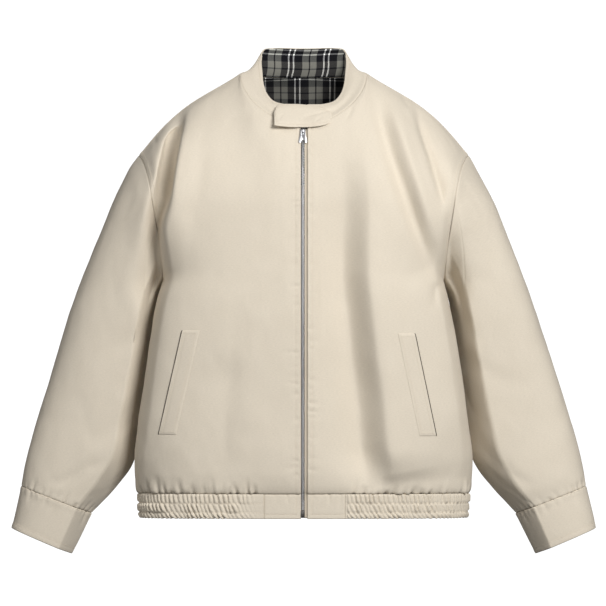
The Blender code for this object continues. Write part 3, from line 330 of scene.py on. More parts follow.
def grid_normals(points, wraps):
    """Outward directions at the points of a grid."""
    padded = np.concatenate([points, points[:, :1]], axis=1) if wraps else points
    quads = np.cross(
        padded[:-1, 1:] - padded[1:, :-1],
        padded[1:, 1:] - padded[:-1, :-1],
    )
    rows, columns = points.shape[:2]
    total = np.zeros(points.shape)
    for di in (0, 1):
        rows_here = slice(di, rows - 1 + di)
        if wraps:
            total[rows_here] += quads
            total[rows_here] += np.roll(quads, 1, axis=1)
        else:
            total[rows_here, :-1] += quads
            total[rows_here, 1:] += quads
    return unit(total)


def armhole_place(height, facing):
    """The armhole's x and y at a height between the armpit and the chest."""
    share = (height - ARMPIT_Z) / (CHEST_Z - ARMPIT_Z)
    x = ARMHOLE_X[0] + (ARMHOLE_X[1] - ARMHOLE_X[0]) * share**1.3
    y = SIDE_SEAM_Y + facing * ARMHOLE_REACH * math.sqrt(max(0.0, 1 - (1 - share) ** 2))
    return x, y


def body_section(height, facing, edge_x, shares):
    """Points of a level section, from the centre line to the side seam or the armhole."""
    row = Section(*smooth_rows(SECTIONS, height)[0])
    power = SQUARENESS
    depth = {-1: row.front + WIDEST_Y, 1: row.back - WIDEST_Y}
    side_y = SIDE_SEAM_Y
    half_width = row.half_width
    if height > ARMPIT_Z:
        side_x, side_y = armhole_place(height, facing)
        towards = -1 if side_y < WIDEST_Y else 1
        reach = abs(side_y - WIDEST_Y) / depth[towards]
        half_width = side_x / (1 - reach**power) ** (1 / power)
    towards = -1 if side_y < WIDEST_Y else 1
    lean = (abs(side_y - WIDEST_Y) / depth[towards]) ** (power / 2)
    end = math.acos(lean if towards == facing else -lean)
    start = math.asin((edge_x / half_width) ** (power / 2))
    angles = np.linspace(start, end, 360)
    x = half_width * np.sin(angles) ** (2 / power)
    bend = np.abs(np.cos(angles)) ** (2 / power)
    y = np.where(
        np.cos(angles) > 0,
        WIDEST_Y + facing * depth[facing] * bend,
        WIDEST_Y - facing * depth[-facing] * bend,
    )
    x = x - row.groove * bell(y, GROOVE_Y, GROOVE_REACH)
    line = np.stack([x, y, np.full(x.shape, height)], axis=1)
    return along(line, shares)


def column_shares(height):
    """Where the grid's columns cross a section, as shares of its length."""
    rise = (height - HEM_SEAM_Z) / (CHEST_Z - HEM_SEAM_Z)
    neck_share = NECK_SHARE[0] + NECK_SHARE[1] * rise
    neck = np.arange(NECK_COUNT) / NECK_COUNT * neck_share
    side = neck_share + np.arange(SHOULDER_COUNT + 1) / SHOULDER_COUNT * (1 - neck_share)
    return np.concatenate([neck, side])


def neckline(facing, edge_x):
    """The neck seam, from the centre line to the shoulder seam."""
    y, z = NECK_FRONT if facing < 0 else NECK_BACK
    start = math.acos(edge_x / NECK_HALF_WIDTH)
    angles = np.linspace(start, 0.0, 200)
    forward, drop = np.sin(angles), np.sin(angles)
    if facing < 0:
        drop = NECK_FRONT_DROP * drop + (1 - NECK_FRONT_DROP) * (1 - np.cos(angles))
        forward = np.abs(forward) ** NECK_FRONT_FORWARD
    line = np.stack([NECK_HALF_WIDTH * np.cos(angles), y * forward, z * drop], axis=1)
    return along(line, np.arange(NECK_COUNT + 1) / NECK_COUNT)


def shoulder_seam():
    """The seam on top of the shoulder, from the neck to the top of the armhole."""
    neck_point = np.array([NECK_HALF_WIDTH, 0.0, 0.0])
    shares = np.linspace(0.0, 1.0, 200)
    line = mixed(neck_point, SHOULDER_POINT, shares[:, None])
    line[:, 2] += SHOULDER_SAG * np.sin(math.pi * shares**SHOULDER_ROUND)
    return along(line, np.arange(SHOULDER_COUNT + 1) / SHOULDER_COUNT)


def top_edge(facing, edge_x):
    """The seam points along a panel's top, with the direction in which it comes up to each."""
    points = np.concatenate([neckline(facing, edge_x)[:-1], shoulder_seam()])
    lean = NECK_DROP_LEAN_FRONT if facing < 0 else NECK_DROP_LEAN_BACK
    at_centre = np.array([0.0, *lean])
    at_ridge = np.array([0.0, -facing * RIDGE_LEAN[0], RIDGE_LEAN[1]])
    at_neck = np.array([0.0, *NECK_POINT_LEAN]) if facing < 0 else at_ridge
    at_sleeve = np.array([0.22, -facing * 0.95, 0.22])
    directions = []
    for j in range(len(points)):
        column = j / FINE_COLUMNS
        if column < NECK_COLUMNS:
            share = math.sin(0.5 * math.pi * column / NECK_COLUMNS)
            directions.append(mixed(at_centre, at_neck, share))
        else:
            share = (column - NECK_COLUMNS) / SHOULDER_COLUMNS
            near_neck = mixed(at_neck, at_ridge, eased(min(1.0, 2.5 * share)))
            directions.append(mixed(near_neck, at_sleeve, share**2))
    return points, unit(directions)


def softened(values, sigma, axis=0):
    """The values blurred along an axis, with their ends held."""
    reach = int(3 * sigma)
    weights = np.exp(-0.5 * (np.arange(-reach, reach + 1) / sigma) ** 2)
    weights /= weights.sum()
    values = np.moveaxis(values, axis, 0)
    first = 2 * values[:1] - values[1 : reach + 1][::-1]
    last = 2 * values[-1:] - values[-reach - 1 : -1][::-1]
    padded = np.concatenate([first, values, last])
    total = sum(w * padded[k : k + len(values)] for k, w in enumerate(weights))
    return np.moveaxis(total, 0, axis)


def level_rows(facing, edge_x):
    """The level part of a panel, from the hem seam to the chest.

    Its rows turn with the armhole at the side and are evenly spaced towards the centre.
    """
    lower = np.linspace(HEM_SEAM_Z, ARMPIT_Z, LOWER_ROWS + 1)
    count = ARMHOLE_ROWS * FINE_ARMHOLE
    shares = np.arange(1, count + 1) / count
    turned = ARMPIT_Z + (CHEST_Z - ARMPIT_Z) * (1 - np.cos(shares * math.pi / 2))
    even = ARMPIT_Z + (CHEST_Z - ARMPIT_Z) * shares
    exact_heights = np.concatenate([lower, turned])
    exact = np.array([body_section(z, facing, edge_x, column_shares(z)) for z in exact_heights])
    heights = np.linspace(HEM_SEAM_Z, CHEST_Z, LEVEL_SAMPLES)
    table = np.array([body_section(z, facing, edge_x, column_shares(z)) for z in heights])
    near_armpit = np.exp(-(((heights - ARMPIT_Z) / ARMPIT_BLEND) ** 4))[:, None, None]
    table = mixed(table, softened(table, SMOOTHING), near_armpit)
    columns = table.shape[1]
    wanted = np.concatenate([lower, even])
    sampled = np.empty(exact.shape)
    for j in range(columns):
        for k in range(3):
            sampled[:, j, k] = np.interp(wanted, heights, table[:, j, k])
    inside = eased((columns - 1 - np.arange(columns)) / ARMHOLE_BLEND)[None, :, None]
    return mixed(exact, sampled, inside)


def half_panel(facing, edge_x):
    """The grid of a front, or of half the back, on the wearer's left."""
    level = level_rows(facing, edge_x)
    chest = level[-1]
    below = body_section(CHEST_Z - 0.004, facing, edge_x, column_shares(CHEST_Z))
    rising = unit(chest - below)
    top, arriving = top_edge(facing, edge_x)
    reach = np.linalg.norm(top - chest, axis=1)[:, None]
    columns = np.arange(len(top)) / FINE_COLUMNS
    out = np.maximum(0.0, columns - NECK_COLUMNS)[:, None] / SHOULDER_COLUMNS
    start_handle = softened(chest + rising * reach * YOKE_START, SMOOTHING)
    end_handle = softened(top - arriving * reach * (YOKE_END[0] + YOKE_END[1] * out), SMOOTHING)
    count = YOKE_ROWS * FINE_YOKE
    t = (np.arange(1, count + 1) / count)[:, None, None]
    yoke = (
        (1 - t) ** 3 * chest
        + 3 * t * (1 - t) ** 2 * start_handle
        + 3 * t * t * (1 - t) * end_handle
        + t**3 * top
    )
    soft = softened(yoke, SMOOTHING, axis=1)
    inside = eased((1 - t) / 0.30) * eased(t / 0.2)
    return np.concatenate([level, mixed(yoke, soft, inside)])


def mirrored(grid):
    """The grid of the other side, with its columns still running to the wearer's left."""
    return grid[:, ::-1] * np.array([-1.0, 1.0, 1.0])


def edge_fade(rows, columns, first_row, last_row, side):
    """0 on a grid's edges and 1 this many rows and columns inside them (side 0 for no sides)."""
    i = np.arange(rows)[:, None]
    j = np.arange(columns)[None, :]
    fade = eased(i / first_row) * eased((rows - 1 - i) / last_row) * np.ones((1, columns))
    if side:
        fade = fade * eased(j / side) * eased((columns - 1 - j) / side)
    return fade


def fold_heights(places, folds):
    """How far a table of folds moves each place out."""
    move = np.zeros(places.shape[:2])
    for x0, z0, x1, z1, bow, width, height in folds:
        start, end = np.array([x0, z0]), np.array([x1, z1])
        run = end - start
        length = np.linalg.norm(run)
        run = run / length
        aside = np.array([-run[1], run[0]]) * (1 if run[1] < 0 else -1)
        offset = places - start
        t = np.clip(offset @ run / length, 0.0, 1.0)
        middle = bow * 4 * t * (1 - t)
        over = offset @ run - t * length
        away = np.hypot(offset @ aside - middle, over)
        fade = eased(t / FOLD_FADE) * eased((1 - t) / FOLD_FADE)
        move += height * fade * np.exp(-((away / width) ** 2))
    return move


def crease_heights(places, creases):
    """How far a table of creases moves each place out.

    A crease is a path of places with its width on its left and on its right, its height and the
    shares of its length over which it fades in and out.
    """
    move = np.zeros(places.shape[:2])
    for crease in creases:
        path = np.array(crease.path, float)
        path = along(path, np.linspace(0.0, 1.0, CREASE_STEPS))
        best = np.full(places.shape[:2], 1e9)
        side = np.zeros(places.shape[:2])
        share = np.zeros(places.shape[:2])
        for k in range(len(path) - 1):
            run = path[k + 1] - path[k]
            offset = places - path[k]
            t = np.clip(offset @ run / (run @ run), 0.0, 1.0)
            away = offset - t[..., None] * run
            distance = np.hypot(away[..., 0], away[..., 1])
            nearer = distance < best
            best = np.where(nearer, distance, best)
            turn = run[0] * offset[..., 1] - run[1] * offset[..., 0]
            side = np.where(nearer, turn, side)
            share = np.where(nearer, (k + t) / (len(path) - 1), share)
        width = np.where(side > 0, crease.left, crease.right)
        fade = eased(share / max(crease.fade_in, 1e-3))
        fade = fade * eased((1 - share) / max(crease.fade_out, 1e-3))
        move += crease.height * fade * np.exp(-np.abs(best / width) ** CREASE_ROUND)
    return move


def framed(points, wraps, inset=0.0011):
    """The grid with one more row and column close inside each of its edges."""

    def with_rows(grid):
        steps = [grid[1] - grid[0], grid[-2] - grid[-1]]
        shares = [
            np.clip(inset / np.maximum(np.linalg.norm(s, axis=1), 1e-9), 0.0, 0.45) for s in steps
        ]
        low = grid[0] + steps[0] * shares[0][:, None]
        high = grid[-1] + steps[1] * shares[1][:, None]
        return np.concatenate([grid[:1], low[None], grid[1:-1], high[None], grid[-1:]])

    points = with_rows(points)
    if not wraps:
        points = np.swapaxes(with_rows(np.swapaxes(points, 0, 1)), 0, 1)
    return points


class Sheet:
    """A cloth piece: a grid of points on its outer side, moved out and in along its normals."""

    def __init__(self, name, points, thickness=SHELL, wraps=False, grain=0):
        self.name = name
        self.points = points
        self.thickness = thickness
        self.wraps = wraps
        self.normals = grid_normals(points, wraps)
        closed = np.concatenate([points, points[:, :1]], axis=1) if wraps else points
        up = np.linalg.norm(np.diff(closed, axis=0), axis=2)
        up = np.concatenate([np.zeros((1, closed.shape[1])), np.cumsum(up, axis=0)])
        round_ = np.linalg.norm(np.diff(closed, axis=1), axis=2)
        round_ = np.concatenate([np.zeros((closed.shape[0], 1)), np.cumsum(round_, axis=1)], axis=1)
        self.u = round_ - round_[:, grain : grain + 1]
        self.v = up
        self.from_foot = up[:, : points.shape[1]]
        self.from_head = (up[-1:] - up)[:, : points.shape[1]]
        self.from_first = round_[:, : points.shape[1]]
        self.from_last = (round_[:, -1:] - round_)[:, : points.shape[1]]
        self.bulge = {"foot": 0.0, "head": 0.0, "first": 0.0, "last": 0.0}

    def move(self, heights):
        """Moves the points this far out along their normals, which then follow the new form."""
        self.points = self.points + self.normals * heights[..., None]
        self.normals = grid_normals(self.points, self.wraps)

    def place(self, row, column):
        """The point and normal at a fractional row and column."""
        rows, columns = self.points.shape[:2]
        i = int(np.clip(math.floor(row), 0, rows - 2))
        s = row - i
        if self.wraps:
            j = int(math.floor(column)) % columns
            k = (j + 1) % columns
            t = column - math.floor(column)
        else:
            j = int(np.clip(math.floor(column), 0, columns - 2))
            k = j + 1
            t = column - j
        weights = ((i, j, (1 - s) * (1 - t)), (i + 1, j, s * (1 - t)))
        weights += ((i, k, (1 - s) * t), (i + 1, k, s * t))
        point = sum(w * self.points[a, b] for a, b, w in weights)
        normal = sum(w * self.normals[a, b] for a, b, w in weights)
        return point, normal / np.linalg.norm(normal)

    def build(self):
        """Makes the closed sheet: its outer side, a coarser inner side and the rims."""
        rows, columns = self.points.shape[:2]
        spans = columns if self.wraps else columns - 1
        row_knots = [*range(0, rows - 1, INNER_STEP), rows - 1]
        column_knots = [*range(0, spans, INNER_STEP), spans]
        inner_columns = column_knots[:-1] if self.wraps else column_knots
        inner = (self.points - self.normals * self.thickness)[np.ix_(row_knots, inner_columns)]
        first_inner = rows * columns
        row_place = {i: a for a, i in enumerate(row_knots)}
        column_place = {j: b for b, j in enumerate(inner_columns)}

        def at(i, j):
            return i * columns + j % columns

        def inside(i, j):
            return first_inner + row_place[i] * len(inner_columns) + column_place[j % columns]

        faces, places = [], []
        for i in range(rows - 1):
            for j in range(spans):
                faces.append((at(i, j), at(i, j + 1), at(i + 1, j + 1), at(i + 1, j)))
                places += [(i, j), (i, j + 1), (i + 1, j + 1), (i + 1, j)]
        for i, k in zip(row_knots[:-1], row_knots[1:]):
            for j, m in zip(column_knots[:-1], column_knots[1:]):
                corners = [(i, j), (k, j), (k, m), (i, m)]
                faces.append(tuple(inside(*c) for c in corners))
                places += corners
        rims = [
            ([(0, j) for j in range(spans + 1)], column_knots, -1),
            ([(rows - 1, j) for j in range(spans + 1)], column_knots, 1),
        ]
        if not self.wraps:
            rims += [
                ([(i, 0) for i in range(rows)], row_knots, 1),
                ([(i, columns - 1) for i in range(rows)], row_knots, -1),
            ]
        extra = []
        first_extra = first_inner + inner.shape[0] * inner.shape[1]
        shared = {}
        for line, knots, turn in rims:
            for start, stop in zip(knots[:-1], knots[1:]):
                cells = line[start : stop + 1][::turn]
                middle = []
                for i, j in cells:
                    key = (i, j % columns)
                    if key not in shared:
                        shared[key] = first_extra + len(extra)
                        extra.append(self.rim_point(key))
                    middle.append(shared[key])
                for k in range(len(cells) - 1):
                    a, b = cells[k], cells[k + 1]
                    faces.append((at(*a), at(*b), middle[k + 1], middle[k]))
                    places += [a, b, b, a]
                faces.append((*middle, inside(*cells[-1]), inside(*cells[0])))
                places += [*cells, cells[-1], cells[0]]
        points = [self.points.reshape(-1, 3), inner.reshape(-1, 3), np.array(extra)]
        mesh = bpy.data.meshes.new(self.name)
        mesh.from_pydata(np.concatenate(points).tolist(), [], faces)
        layer = mesh.uv_layers.new(name="cloth")
        places = np.array(places)
        u, v = (grid[places[:, 0], places[:, 1]] for grid in (self.u, self.v))
        layer.data.foreach_set("uv", np.stack([u, v], axis=1).astype(np.float32).ravel())
        return finished(self.name, mesh)

    def rim_point(self, cell):
        """The middle of the rim at an edge cell, pushed out where that edge is free."""
        i, j = cell
        rows, columns = self.points.shape[:2]
        here = self.points[i, j]
        away = np.zeros(3)
        if i == 0:
            away += self.bulge["foot"] * unit(here - self.points[1, j])
        if i == rows - 1:
            away += self.bulge["head"] * unit(here - self.points[-2, j])
        if not self.wraps and j == 0:
            away += self.bulge["first"] * unit(here - self.points[i, 1])
        if not self.wraps and j == columns - 1:
            away += self.bulge["last"] * unit(here - self.points[i, -2])
        return here - self.normals[i, j] * self.thickness / 2 + away


def finished(name, mesh):
    """Adds a smooth-shaded object for a mesh."""
    mesh.validate()
    mesh.shade_smooth()
    mesh.update()
    item = bpy.data.objects.new(name, mesh)
    bpy.context.scene.collection.objects.link(item)
    return item


# ---------------- folds and creases of the cloth

# A crease's path of places, its width on its left and right, its height, and the shares of its
# length over which it fades in and out. Places are x from the centre (positive to each side's
# own outside) and z for the panels, and turned length and fall for the sleeves.
Crease = namedtuple("Crease", "path left right height fade_in fade_out")

CREASES = {
    "front_left": (
        Crease(
            (
                (0.104, 0.004), (0.108, -0.039), (0.118, -0.081), (0.139, -0.131),
                (0.159, -0.180), (0.174, -0.229), (0.186, -0.264), (0.196, -0.295),
                (0.206, -0.322),
            ),
            0.0105, 0.0190, -0.0070, 0.60, 0.08,
        ),
        Crease(
            ((0.126, -0.036), (0.142, -0.081), (0.160, -0.131), (0.180, -0.190), (0.196, -0.250)),
            0.0120, 0.0070, 0.0032, 0.30, 0.30,
        ),
        Crease(
            ((0.170, -0.036), (0.184, -0.081), (0.199, -0.125), (0.212, -0.173), (0.222, -0.222)),
            0.0065, 0.0110, -0.0065, 0.30, 0.20,
        ),
        Crease(
            ((0.180, -0.046), (0.195, -0.090), (0.207, -0.130), (0.218, -0.180)),
            0.0055, 0.0050, 0.0020, 0.35, 0.35,
        ),
        Crease(((0.150, -0.026), (0.158, -0.042), (0.167, -0.056)), 0.004, 0.005, -0.0020, 0.4, 0.4),
        Crease(
            (
                (0.0560, -0.050), (0.0590, -0.134), (0.0625, -0.196), (0.0610, -0.258),
                (0.0605, -0.320), (0.0680, -0.382), (0.0745, -0.444), (0.0840, -0.506),
                (0.0880, -0.568), (0.1020, -0.650),
            ),
            0.0240, 0.0420, -0.0205, 0.48, 0.02,
        ),
        Crease(
            (
                (0.0960, -0.060), (0.0980, -0.134), (0.1020, -0.196), (0.1005, -0.258),
                (0.1000, -0.320), (0.1075, -0.382), (0.1140, -0.444), (0.1235, -0.506),
                (0.1275, -0.568), (0.1420, -0.645),
            ),
            0.0560, 0.0190, 0.0175, 0.48, 0.05,
        ),
        Crease(((0.077, -0.050), (0.071, -0.064), (0.062, -0.078)), 0.004, 0.004, -0.0016, 0.4, 0.4),
        Crease(
            ((0.206, -0.322), (0.203, -0.345), (0.204, -0.372)), 0.006, 0.007, -0.0034, 0.2, 0.6
        ),
        Crease(
            ((0.130, -0.655), (0.122, -0.625), (0.126, -0.590)), 0.007, 0.009, -0.0030, 0.05, 0.7
        ),
    ),
    "front_right": (
        Crease(
            ((0.176, -0.052), (0.184, -0.090), (0.196, -0.165), (0.205, -0.235)),
            0.0065, 0.0065, 0.0026, 0.30, 0.35,
        ),
        Crease(((0.209, -0.056), (0.210, -0.081)), 0.0035, 0.0040, -0.0022, 0.4, 0.4),
        Crease(((0.230, -0.097), (0.231, -0.112)), 0.0030, 0.0035, -0.0018, 0.4, 0.4),
        Crease(
            ((0.150, -0.080), (0.158, -0.150), (0.170, -0.230), (0.178, -0.300)),
            0.0140, 0.0180, -0.0022, 0.35, 0.40,
        ),
        Crease(
            ((0.095, -0.330), (0.108, -0.420), (0.118, -0.520), (0.122, -0.645)),
            0.0150, 0.0200, -0.0020, 0.35, 0.15,
        ),
    ),
    "back": (
        Crease(
            ((0.168, -0.045), (0.178, -0.100), (0.196, -0.180), (0.206, -0.270), (0.212, -0.315)),
            0.0060, 0.0100, -0.0042, 0.25, 0.20,
        ),
        Crease(
            ((-0.180, -0.050), (-0.189, -0.110), (-0.203, -0.190), (-0.211, -0.300)),
            0.0100, 0.0055, -0.0052, 0.25, 0.20,
        ),
        Crease(
            ((-0.150, -0.040), (-0.160, -0.120), (-0.180, -0.220)), 0.008, 0.006, -0.0024, 0.3, 0.4
        ),
        Crease(((0.205, -0.060), (0.212, -0.095)), 0.004, 0.004, -0.0022, 0.4, 0.4),
        Crease(
            ((0.075, -0.200), (0.084, -0.350), (0.102, -0.500), (0.117, -0.645)),
            0.0130, 0.0180, -0.0032, 0.20, 0.10,
        ),
        Crease(
            ((-0.090, -0.250), (-0.096, -0.400), (-0.102, -0.520), (-0.108, -0.645)),
            0.0170, 0.0130, -0.0030, 0.25, 0.10,
        ),
        Crease(
            ((0.010, -0.360), (0.004, -0.500), (0.014, -0.645)), 0.014, 0.012, -0.0022, 0.4, 0.1
        ),
    ),
}

# Small darts in the cloth over the hem seam: their x at the seam, the place they rise to, and
# their widths and height as creases
Dart = namedtuple("Dart", "foot_x top_x top_z left right height")
DARTS = {
    "front_left": (
        Dart(0.0845, 0.083, -0.628, 0.003, 0.004, -0.0022),
        Dart(0.190, 0.194, -0.622, 0.004, 0.005, -0.0026),
        Dart(0.2286, 0.230, -0.625, 0.004, 0.005, -0.0026),
        Dart(0.150, 0.153, -0.636, 0.003, 0.004, -0.0020),
        Dart(0.170, 0.171, -0.640, 0.003, 0.003, -0.0016),
        Dart(0.209, 0.212, -0.634, 0.003, 0.004, -0.0018),
        Dart(0.100, 0.101, -0.640, 0.003, 0.003, -0.0014),
    ),
    "front_right": (
        Dart(0.2038, 0.201, -0.620, 0.003, 0.0045, -0.0030),
        Dart(0.1992, 0.193, -0.632, 0.003, 0.004, -0.0018),
        Dart(0.1542, 0.151, -0.618, 0.004, 0.005, -0.0030),
        Dart(0.128, 0.125, -0.632, 0.003, 0.004, -0.0022),
        Dart(0.100, 0.099, -0.628, 0.003, 0.005, -0.0022),
        Dart(0.078, 0.079, -0.634, 0.003, 0.004, -0.0018),
        Dart(0.178, 0.180, -0.628, 0.003, 0.004, -0.0024),
        Dart(0.226, 0.230, -0.615, 0.004, 0.005, -0.0030),
        Dart(0.240, 0.246, -0.628, 0.003, 0.004, -0.0024),
    ),
}
DART_FOOT_Z = -0.655


def dart_creases(name):
    """A panel's darts as creases."""
    return [
        Crease(((d.foot_x, DART_FOOT_Z), (d.top_x, d.top_z)), d.left, d.right, d.height, 0.05, 0.6)
        for d in DARTS.get(name, ())
    ]


# How a small pucker that rises from a gathered seam is chosen: the least and most between two
# of them, their width, depth and length
PUCKER_STEP = (0.0075, 0.0190)
PUCKER_WIDTH = (0.0016, 0.0032)
PUCKER_DEPTH = (0.0012, 0.0058)
PUCKER_LENGTH = (0.008, 0.034)
PUCKER_LEAN = 0.16

RIPPLES = ((0.085, 0.0016), (0.034, 0.0007), (0.014, 0.00028))  # sizes and heights of soft waves
WAVE_STRETCH = 0.62  # how fast the waves change down the cloth, beside across it

SEAM_ROLL = 0.0008  # how far a seam's edges turn in
SEAM_ROLL_WIDTH = 0.0013
LAP_RISE = 0.00045  # of the stitched allowance beside a seam
LAP_WIDTH = 0.0068

# How far in from its edge each row of stitches lies
FRONT_STITCH = 0.0072
SEAM_STITCHES = (0.0014, 0.0066)  # beside the armholes
SHOULDER_STITCH = 0.0060
NECK_STITCH = 0.0016
CUFF_STITCH = 0.0085
CUFF_SEAM_STITCH = 0.0018
COLLAR_STITCH = 0.0055
TAB_STITCH = 0.0042
WELT_STITCH = 0.0062  # beside a pocket's opening
WELT_SEWN_STITCH = 0.0045
PLAIN_BAND_STITCH = 0.0065


def soft_waves(sheet, seed, strength=1.0):
    """The soft unevenness that any worn cloth has."""
    rows, columns = sheet.points.shape[:2]
    u = sheet.u[:, :columns] + 3.0
    v = sheet.v[:, :columns] + 3.0
    total = np.zeros((rows, columns))
    for k, (size, height) in enumerate(RIPPLES):
        waves = ripples(u, v * WAVE_STRETCH, size, seed + k)
        if sheet.wraps:
            turn = sheet.u[:, -1:]
            other = ripples(u - turn, v * WAVE_STRETCH, size, seed + k)
            share = eased(sheet.u[:, :columns] / turn)
            waves = waves * (1 - share) + other * share
        total += strength * height * waves
    return total


def puckers(lengths, rises, seed, first, last, strength=1.0):
    """Small pleats that rise from a gathered seam, between two lengths along it."""
    chance = np.random.default_rng(seed)
    move = np.zeros(lengths.shape)
    here = first + chance.uniform(*PUCKER_STEP)
    while here < last:
        width = chance.uniform(*PUCKER_WIDTH)
        depth = chance.uniform(*PUCKER_DEPTH) * strength
        reach = chance.uniform(*PUCKER_LENGTH)
        lean = chance.uniform(-PUCKER_LEAN, PUCKER_LEAN)
        away = (lengths - here - lean * rises) / (width * (1 + rises / reach))
        move -= depth * np.exp(-away * away) * (1 - eased(rises / reach))
        here += chance.uniform(*PUCKER_STEP)
    return move


def stitched(distance, inset, depth=0.0004, width=0.0010):
    """The line that a row of stitches sinks into the cloth, this far in from an edge."""
    return -depth * bell(distance, inset, width)


def seam_heights(distance, lap):
    """The groove of a seam, and the raised allowance beside it where lap is 1."""
    groove = -SEAM_ROLL * bell(distance, 0.0, SEAM_ROLL_WIDTH)
    ridge = LAP_RISE * lap * eased(distance / 0.0015) * (1 - eased((distance - LAP_WIDTH) / 0.0014))
    return groove + ridge


# ---------------- fronts and back


# The valley between the chest and each sleeve, which runs over the armhole seam: for each height,
# how far out its bottom lies, its depth and its widths towards the centre and the sleeve
Valley = namedtuple("Valley", "z x depth inner outer")
VALLEYS = {
    "right": (
        Valley(-0.036, 0.1860, 0.0000, 0.0050, 0.0060),
        Valley(-0.056, 0.1890, 0.0030, 0.0070, 0.0080),
        Valley(-0.075, 0.1950, 0.0095, 0.0080, 0.0090),
        Valley(-0.103, 0.2025, 0.0240, 0.0076, 0.0095),
        Valley(-0.150, 0.2105, 0.0355, 0.0078, 0.0100),
        Valley(-0.196, 0.2195, 0.0365, 0.0082, 0.0120),
        Valley(-0.240, 0.2255, 0.0350, 0.0086, 0.0150),
        Valley(-0.285, 0.2290, 0.0230, 0.0100, 0.0190),
        Valley(-0.330, 0.2310, 0.0240, 0.0090, 0.0220),
        Valley(-0.370, 0.2330, 0.0120, 0.0080, 0.0180),
        Valley(-0.410, 0.2360, 0.0000, 0.0080, 0.0160),
    ),
    "left": (
        Valley(-0.150, 0.2230, 0.0000, 0.0060, 0.0080),
        Valley(-0.200, 0.2270, 0.0015, 0.0080, 0.0140),
        Valley(-0.240, 0.2280, 0.0035, 0.0090, 0.0150),
        Valley(-0.285, 0.2290, 0.0120, 0.0090, 0.0170),
        Valley(-0.330, 0.2310, 0.0220, 0.0090, 0.0200),
        Valley(-0.370, 0.2330, 0.0120, 0.0080, 0.0180),
        Valley(-0.410, 0.2360, 0.0000, 0.0080, 0.0160),
    ),
}
VALLEY_ROUND = 2.2  # power that shapes a valley's section
BACK_VALLEY_TOP = -0.13
BACK_VALLEY = 0.38  # depth of the back's valleys beside the front's

# The fronts lie flatter than the solids: how far out, between which shares of their width and
# between which heights, how much of it reaches the yoke, and how far below the top edge it starts
FLAT_DEPTH = 0.0125
FLAT_FROM = 0.12
FLAT_TO = 0.935
FLAT_END = 1.000
FLAT_TOP = -0.050
FLAT_FOOT = -0.648
FLAT_YOKE = {"front_left": 0.30, "front_right": 0.75}
HEAD_FADE = 0.032

ZIP_DRAGS = 0.24  # strength of the small pleats beside the zip
FOOT_HOLD = 0.12  # of the folds that is left at the hem seam
HEM_OVERHANG = 0.0055  # where over the seam the cloth hangs furthest out
HEM_DROP = 0.0019
HEM_PUFF = 0.0022
HEM_POUCHES = (0.017, 0.0060)  # sizes of the overhang's pouches

WAVE_SEEDS = {"front_left": 11, "front_right": 23, "back": 37}


def sunk(points):
    """The points with the valleys at the armholes sunk into them, front and back."""
    moved = points.copy()
    for side_name, valleys in VALLEYS.items():
        side = 1 if side_name == "left" else -1
        height = np.clip(points[..., 2], valleys[-1].z, valleys[0].z)
        row = smooth_rows(valleys, height.ravel()).reshape(*height.shape, 5)
        out = side * points[..., 0] - row[..., 1]
        width = np.where(out < 0, row[..., 3], row[..., 4])
        profile = np.exp(-np.abs(out / width) ** VALLEY_ROUND)
        front = eased((WIDEST_Y + 0.01 - points[..., 1]) / 0.03)
        behind = eased((points[..., 1] - WIDEST_Y - 0.06) / 0.03) * BACK_VALLEY
        behind = behind * eased((BACK_VALLEY_TOP - points[..., 2]) / 0.08)
        moved[..., 1] += row[..., 2] * profile * (front - behind)
    return moved


def below_head(points):
    """How far each place has left a panel's top edge behind, from 0 to 1."""
    steps = np.linalg.norm(np.diff(points, axis=0), axis=2)
    lengths = np.concatenate([np.cumsum(steps[::-1], axis=0)[::-1], np.zeros((1, points.shape[1]))])
    return eased(lengths / HEAD_FADE)[..., None]


def flattened(points, yoke_share):
    """The points of a front's grid, flatter across the chest and belly than the solids."""
    out, height = np.abs(points[..., 0]), points[..., 2]
    share = out / out.max(axis=1, keepdims=True)
    across = np.clip((share - FLAT_FROM) / (FLAT_TO - FLAT_FROM), 0.0, 1.0) ** 1.8
    across = across * (1 - eased((share - FLAT_TO) / (FLAT_END - FLAT_TO)))
    down = eased((FLAT_TOP - height) / 0.12) * eased((height - FLAT_FOOT) / 0.13)
    down = down * mixed(yoke_share, 1.0, eased((ARMPIT_Z + 0.06 - height) / 0.09))
    moved = points.copy()
    moved[..., 1] -= FLAT_DEPTH * across * down
    return moved


def hem_blouse(sheet, length, amount, seed):
    """The cloth's overhang above the gathered seam, in uneven little pouches."""
    rise = sheet.from_foot
    over = rise / HEM_OVERHANG * np.exp(1 - rise / HEM_OVERHANG)
    over = over * (1 - eased((rise - 0.02) / 0.02))
    large, small = (
        ripples(length + 5.0, rise * 0.2, size, seed + k) for k, size in enumerate(HEM_POUCHES)
    )
    uneven = large + 0.8 * small
    uneven = np.clip(0.45 + 0.75 * uneven, -0.2, 1.6) * amount
    sheet.points[..., 2] -= HEM_DROP * over * (0.25 * amount + uneven)
    return HEM_PUFF * over * uneven


